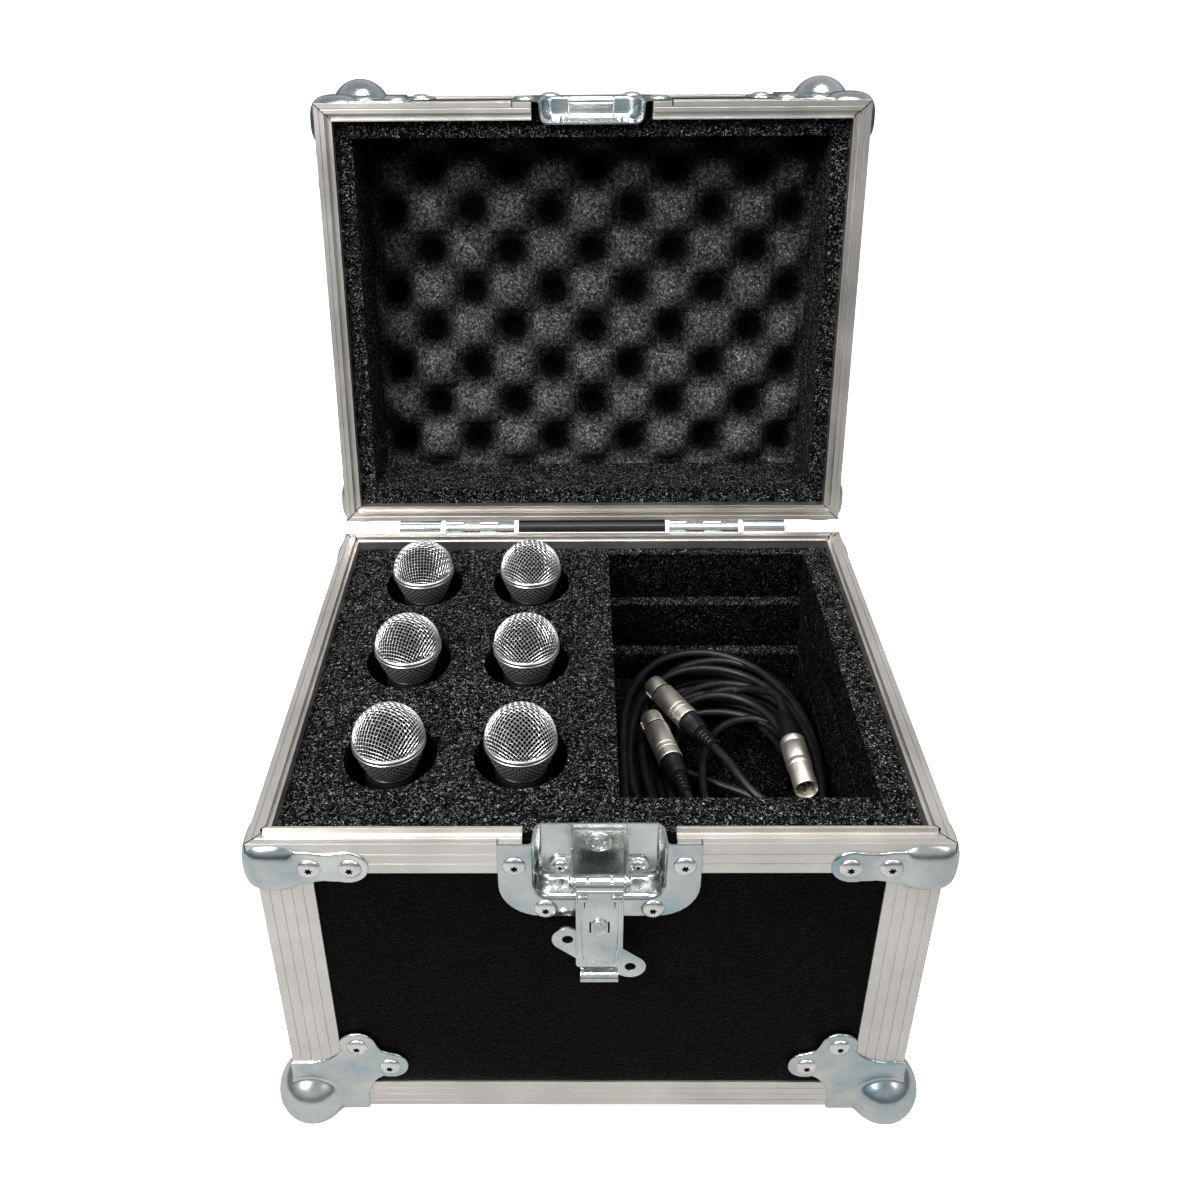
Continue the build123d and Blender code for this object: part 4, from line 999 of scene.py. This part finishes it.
def arm_details():
    """Lines pressed into the arm, and the lugs and the roll at its eye."""
    draft = bmesh.new()
    for side in (-1, 1):
        rail = ((10.9, -35), (10.9, -36.5), (10.9, -60), (10.9, -85), (9.6, -91), (7.4, -93.2))
        bead(draft, [(side * x, ARM_FRONT + 0.15, z) for x, z in rail], 0.75)
        bead(draft, [(side * 13.9, ARM_FRONT + 0.3, z) for z in (-34, -36, -60, -84, -92)], 0.8)
        lug = along((side * 10.4, ARM_FRONT + 0.6, -33), (side, 0, 0))
        lathe(draft, [(0, -3.4), (2, -3.3), (2.9, -2.7), (3.1, -1.8), (3.1, 2.4), (2.8, 3.1),
                      (1.8, 3.5), (0, 3.5)], lug, 24)
    bead(draft, [(x, ARM_FRONT + 0.5, -28.4) for x in (-14.2, -13.6, 0, 13.6, 14.2)], 1.5, sides=12)
    swell = [(x, ARM_FRONT + 0.35, -93.2 + 2.2 * (1 - (x / 7.4) ** 2))
             for x in (-7.4, -5, -2.5, 0, 2.5, 5, 7.4)]
    bead(draft, swell, 0.6)
    return finished(draft, "arm_details")


def arm_shadows():
    """Painted shade of slots, as flat dark shapes: either side of the guide rivet and two slits below the eye.
    """
    draft = bmesh.new()
    flat = along((0, ARM_FRONT, GUIDE_Z), FRONT_OUT)
    for side in (-1, 1):
        for shape in (((5.15, -5.2), (6.3, -4.6), (6.3, 4.6), (5.15, 5.2)),
                      ((8.9, 22), (9.7, 22.3), (9.5, 17.2), (9.1, 17))):
            outline = [(side * x, y) for x, y in shape]
            prism(draft, outline[::side], -0.6, 0.06, flat)
    return finished(draft, "arm_shadows")


def guide_rivet_mesh():
    """The flat-sided rivet head: an oblong with eased edges."""
    draft = bmesh.new()
    flat = along((0, ARM_FRONT, GUIDE_Z), FRONT_OUT)
    outline = arc((0, -1.7), 5, 180, 360, 14) + arc((0, 1.7), 5, 0, 180, 14)
    rings = []
    for scale, height in ((1, 0), (1, 0.8), (0.95, 1.1), (0.88, 1.2)):
        rings.append([draft.verts.new(flat @ Vector((p.x * scale * 0.98, p.y * (scale + 0.02) * 0.98, height)))
                      for p in outline])
    for low, high in zip(rings, rings[1:]):
        bridge(draft, low, high)
    draft.faces.new(rings[-1])
    return finished(draft, "guide_head")


def hook_details():
    """The rolled hook's end lugs either side of its centre roll."""
    draft = bmesh.new()
    for side in (-1, 1):
        lug = along((side * 9.6, -187.2, -103.5), (side, 0, 0))
        lathe(draft, [(3, -1.9), (3.95, -1.7), (4.1, -1.2), (4.1, 1.9), (3.8, 2.3), (2.8, 2.4)], lug, 28)
    return finished(draft, "hook_details")


place("latch_bracket_rivets", bracket_details(), *ON_BASE, "hardware", rivet_steel, shade_and_joint_black, sharp=45)
place("latch_arm_beads", arm_details(), BASE, "latch_arm", "hardware", zinc_smooth, sharp=60)
# flat dark shapes on the arm: painted shade of its slots
place("latch_arm_slot_shade", arm_shadows(), BASE, "latch_arm", "hardware", shade_and_joint_black)
place("latch_guide_head", guide_rivet_mesh(), BASE, "latch_arm", "hardware", rivet_steel, sharp=50)
place("latch_hook_lugs", hook_details(), BASE, "latch_hook", "hardware", zinc_smooth, sharp=45)


# ---- rim mitres and hinge cover strips
RIM_IN = 13.2  # a rim's width
RIM_LOW = -5.5  # where the drawn joints end
TONGUE = (8.4, 11.6, 3.5)  # near side, far side and height
SLOT = (7.8, 12.2, -4.2)
HINGE_OUT = 7.5  # the hinge line, behind the rims


def mitre_mesh(near, far, height):
    """The thin dark joints where the rims meet at 45 degrees, with the tongue or the slot in
    their outline, proud of the rims by `lift`."""
    draft = bmesh.new()
    lift = 0.07
    top = [(-0.05, lift), (near, lift), (near, height + lift), (far, height + lift), (far, lift),
           (RIM_IN, lift)]
    root = 2 ** 0.5
    outline = [(run * root, rise) for run, rise in [(-0.05, RIM_LOW)] + top + [(RIM_IN, RIM_LOW)]]
    cut = 1 / root
    for flip in FLIPS:
        carry = flip @ Matrix.Translation((-HALF_W, -HALF_D, 0))
        prism(draft, outline[::-1], -0.32, 0.32, carry @ axes((cut, 0, cut), (cut, 0, -cut), (0, 1, 0)))
    return outward(draft, "mitres")


def strip_mesh(*spans):
    """Strips up the lid's back face that curl round the hinge line, outside the knuckles."""
    draft = bmesh.new()
    hinge = (HALF_D + HINGE_OUT, 0)
    outline = [(HALF_D + 1, 10), (HALF_D + 1, 0.9)] + arc(hinge, 6.3, 175, 278, 18)
    outline += arc(hinge, 5.5, 278, 175, 18) + [(HALF_D + 0.15, 0.9), (HALF_D + 0.15, 10)]
    for low, high in spans:
        prism(draft, outline, low, high, YZX)
    return outward(draft, "strips")


place("base_rim_mitres", mitre_mesh(*TONGUE), *ON_BASE, "extrusion", shade_and_joint_black)
place("lid_rim_mitres", mitre_mesh(*SLOT), *ON_LID_TURNED, "extrusion", shade_and_joint_black)
place("lid_hinge_strip", strip_mesh((-64, 64)), *ON_LID, "hardware", boot_rubber)
place("lid_hinge_end_strips", strip_mesh((-168, -132), (132, 168)), *ON_LID, "hardware", zinc_smooth)


# ---- hinge and strike rivets
hinge_runs = [x + dx for x in (-98, 98) for dx in (-20, 0, 20)]
for name, matrix, body, rise in (("base_hinge_rivets", *ON_BASE, -14), ("lid_hinge_rivets", *ON_LID, 14)):
    hinge_spots = [((x, HALF_D + PLATE, rise), -FRONT_OUT) for x in hinge_runs]
    rivet_set(name, hinge_spots, matrix, body, 4.6, 1.9)
strike_spots = [((side * 22.3, PAN_BACK - PLATE, 40.9), FRONT_OUT) for side in (-1, 1)]
rivet_set("lid_strike_rivets", strike_spots, *ON_LID, 2.9, 1.6)


# ---- floor and light
# The camera sees white; what lights the case by bouncing is darker, so that metal keeps its tone.
FLOOR = 6.0  # metres from the middle to an edge
floor_mesh = bpy.data.meshes.new("studio_floor")
floor_mesh.from_pydata([(-FLOOR, -FLOOR, 0), (FLOOR, -FLOOR, 0), (FLOOR, FLOOR, 0), (-FLOOR, FLOOR, 0)],
                       [], [(0, 1, 2, 3)])
floor = added("studio_floor", floor_mesh)
floor_paint, tree, shader, where = surface("studio_white", Roughness=0.9, Specular_IOR_Level=0.1)
rays = tree.nodes.new("ShaderNodeLightPath").outputs
unseen = ramp(tree, rays["Is Diffuse Ray"], (0.0, (0.55, 0.56, 0.56)), (1.0, 0.13))
plain = ramp(tree, grain(tree, where, 2.0), (0.3, 0.88), (0.7, 0.90))
feed(tree, shader, Base_Color=blend(tree, "MIX", rays["Is Camera Ray"], unseen, plain),
     Emission_Color=(1.0, 1.0, 1.0, 1.0), Emission_Strength=rays["Is Camera Ray"])
floor_mesh.materials.append(floor_paint)

world = bpy.data.worlds.new("studio")
scene.world = world
world.use_nodes = True
sky = world.node_tree
split = node(sky, "ShaderNodeSeparateXYZ", Vector=sky.nodes.new("ShaderNodeTexCoord").outputs["Generated"])
tent = ramp(sky, split.outputs["Z"], (0.0, (0.10, 0.115, 0.125)), (0.18, (0.24, 0.26, 0.27)),
            (0.45, (0.50, 0.51, 0.52)), (1.0, (0.30, 0.32, 0.34)))
rays = sky.nodes.new("ShaderNodeLightPath").outputs
dimmed = blend(sky, "MULTIPLY", 1.0, tent, ramp(sky, rays["Is Diffuse Ray"], (0.0, 1.0), (1.0, 0.14)))
shown = blend(sky, "MIX", rays["Is Camera Ray"], dimmed, (1.0, 1.0, 1.0, 1.0))
feed(sky, sky.nodes["Background"], Color=shown, Strength=1.0)
having(scene.view_settings, view_transform="Standard", look="Medium High Contrast")


def softbox(name, spot, target, size, power):
    """A rectangular lamp at a spot, shining on a target; `power` is in watts."""
    lamp = having(bpy.data.lights.new(name, "AREA"), shape="RECTANGLE", energy=power)
    lamp.size, lamp.size_y = size
    added(name, lamp).matrix_world = along(spot, Vector(spot) - Vector(target))


softbox("key", (-1.1, -1.3, 1.9), (0.0, 0.0, 0.3), (0.8, 0.8), 43.0)
softbox("fill", (1.5, -1.0, 1.8), (0.0, 0.0, 0.25), (1.2, 1.2), 8.0)
softbox("top", (0.1, -0.2, 2.2), (0.0, 0.0, 0.2), (0.9, 0.7), 20.0)
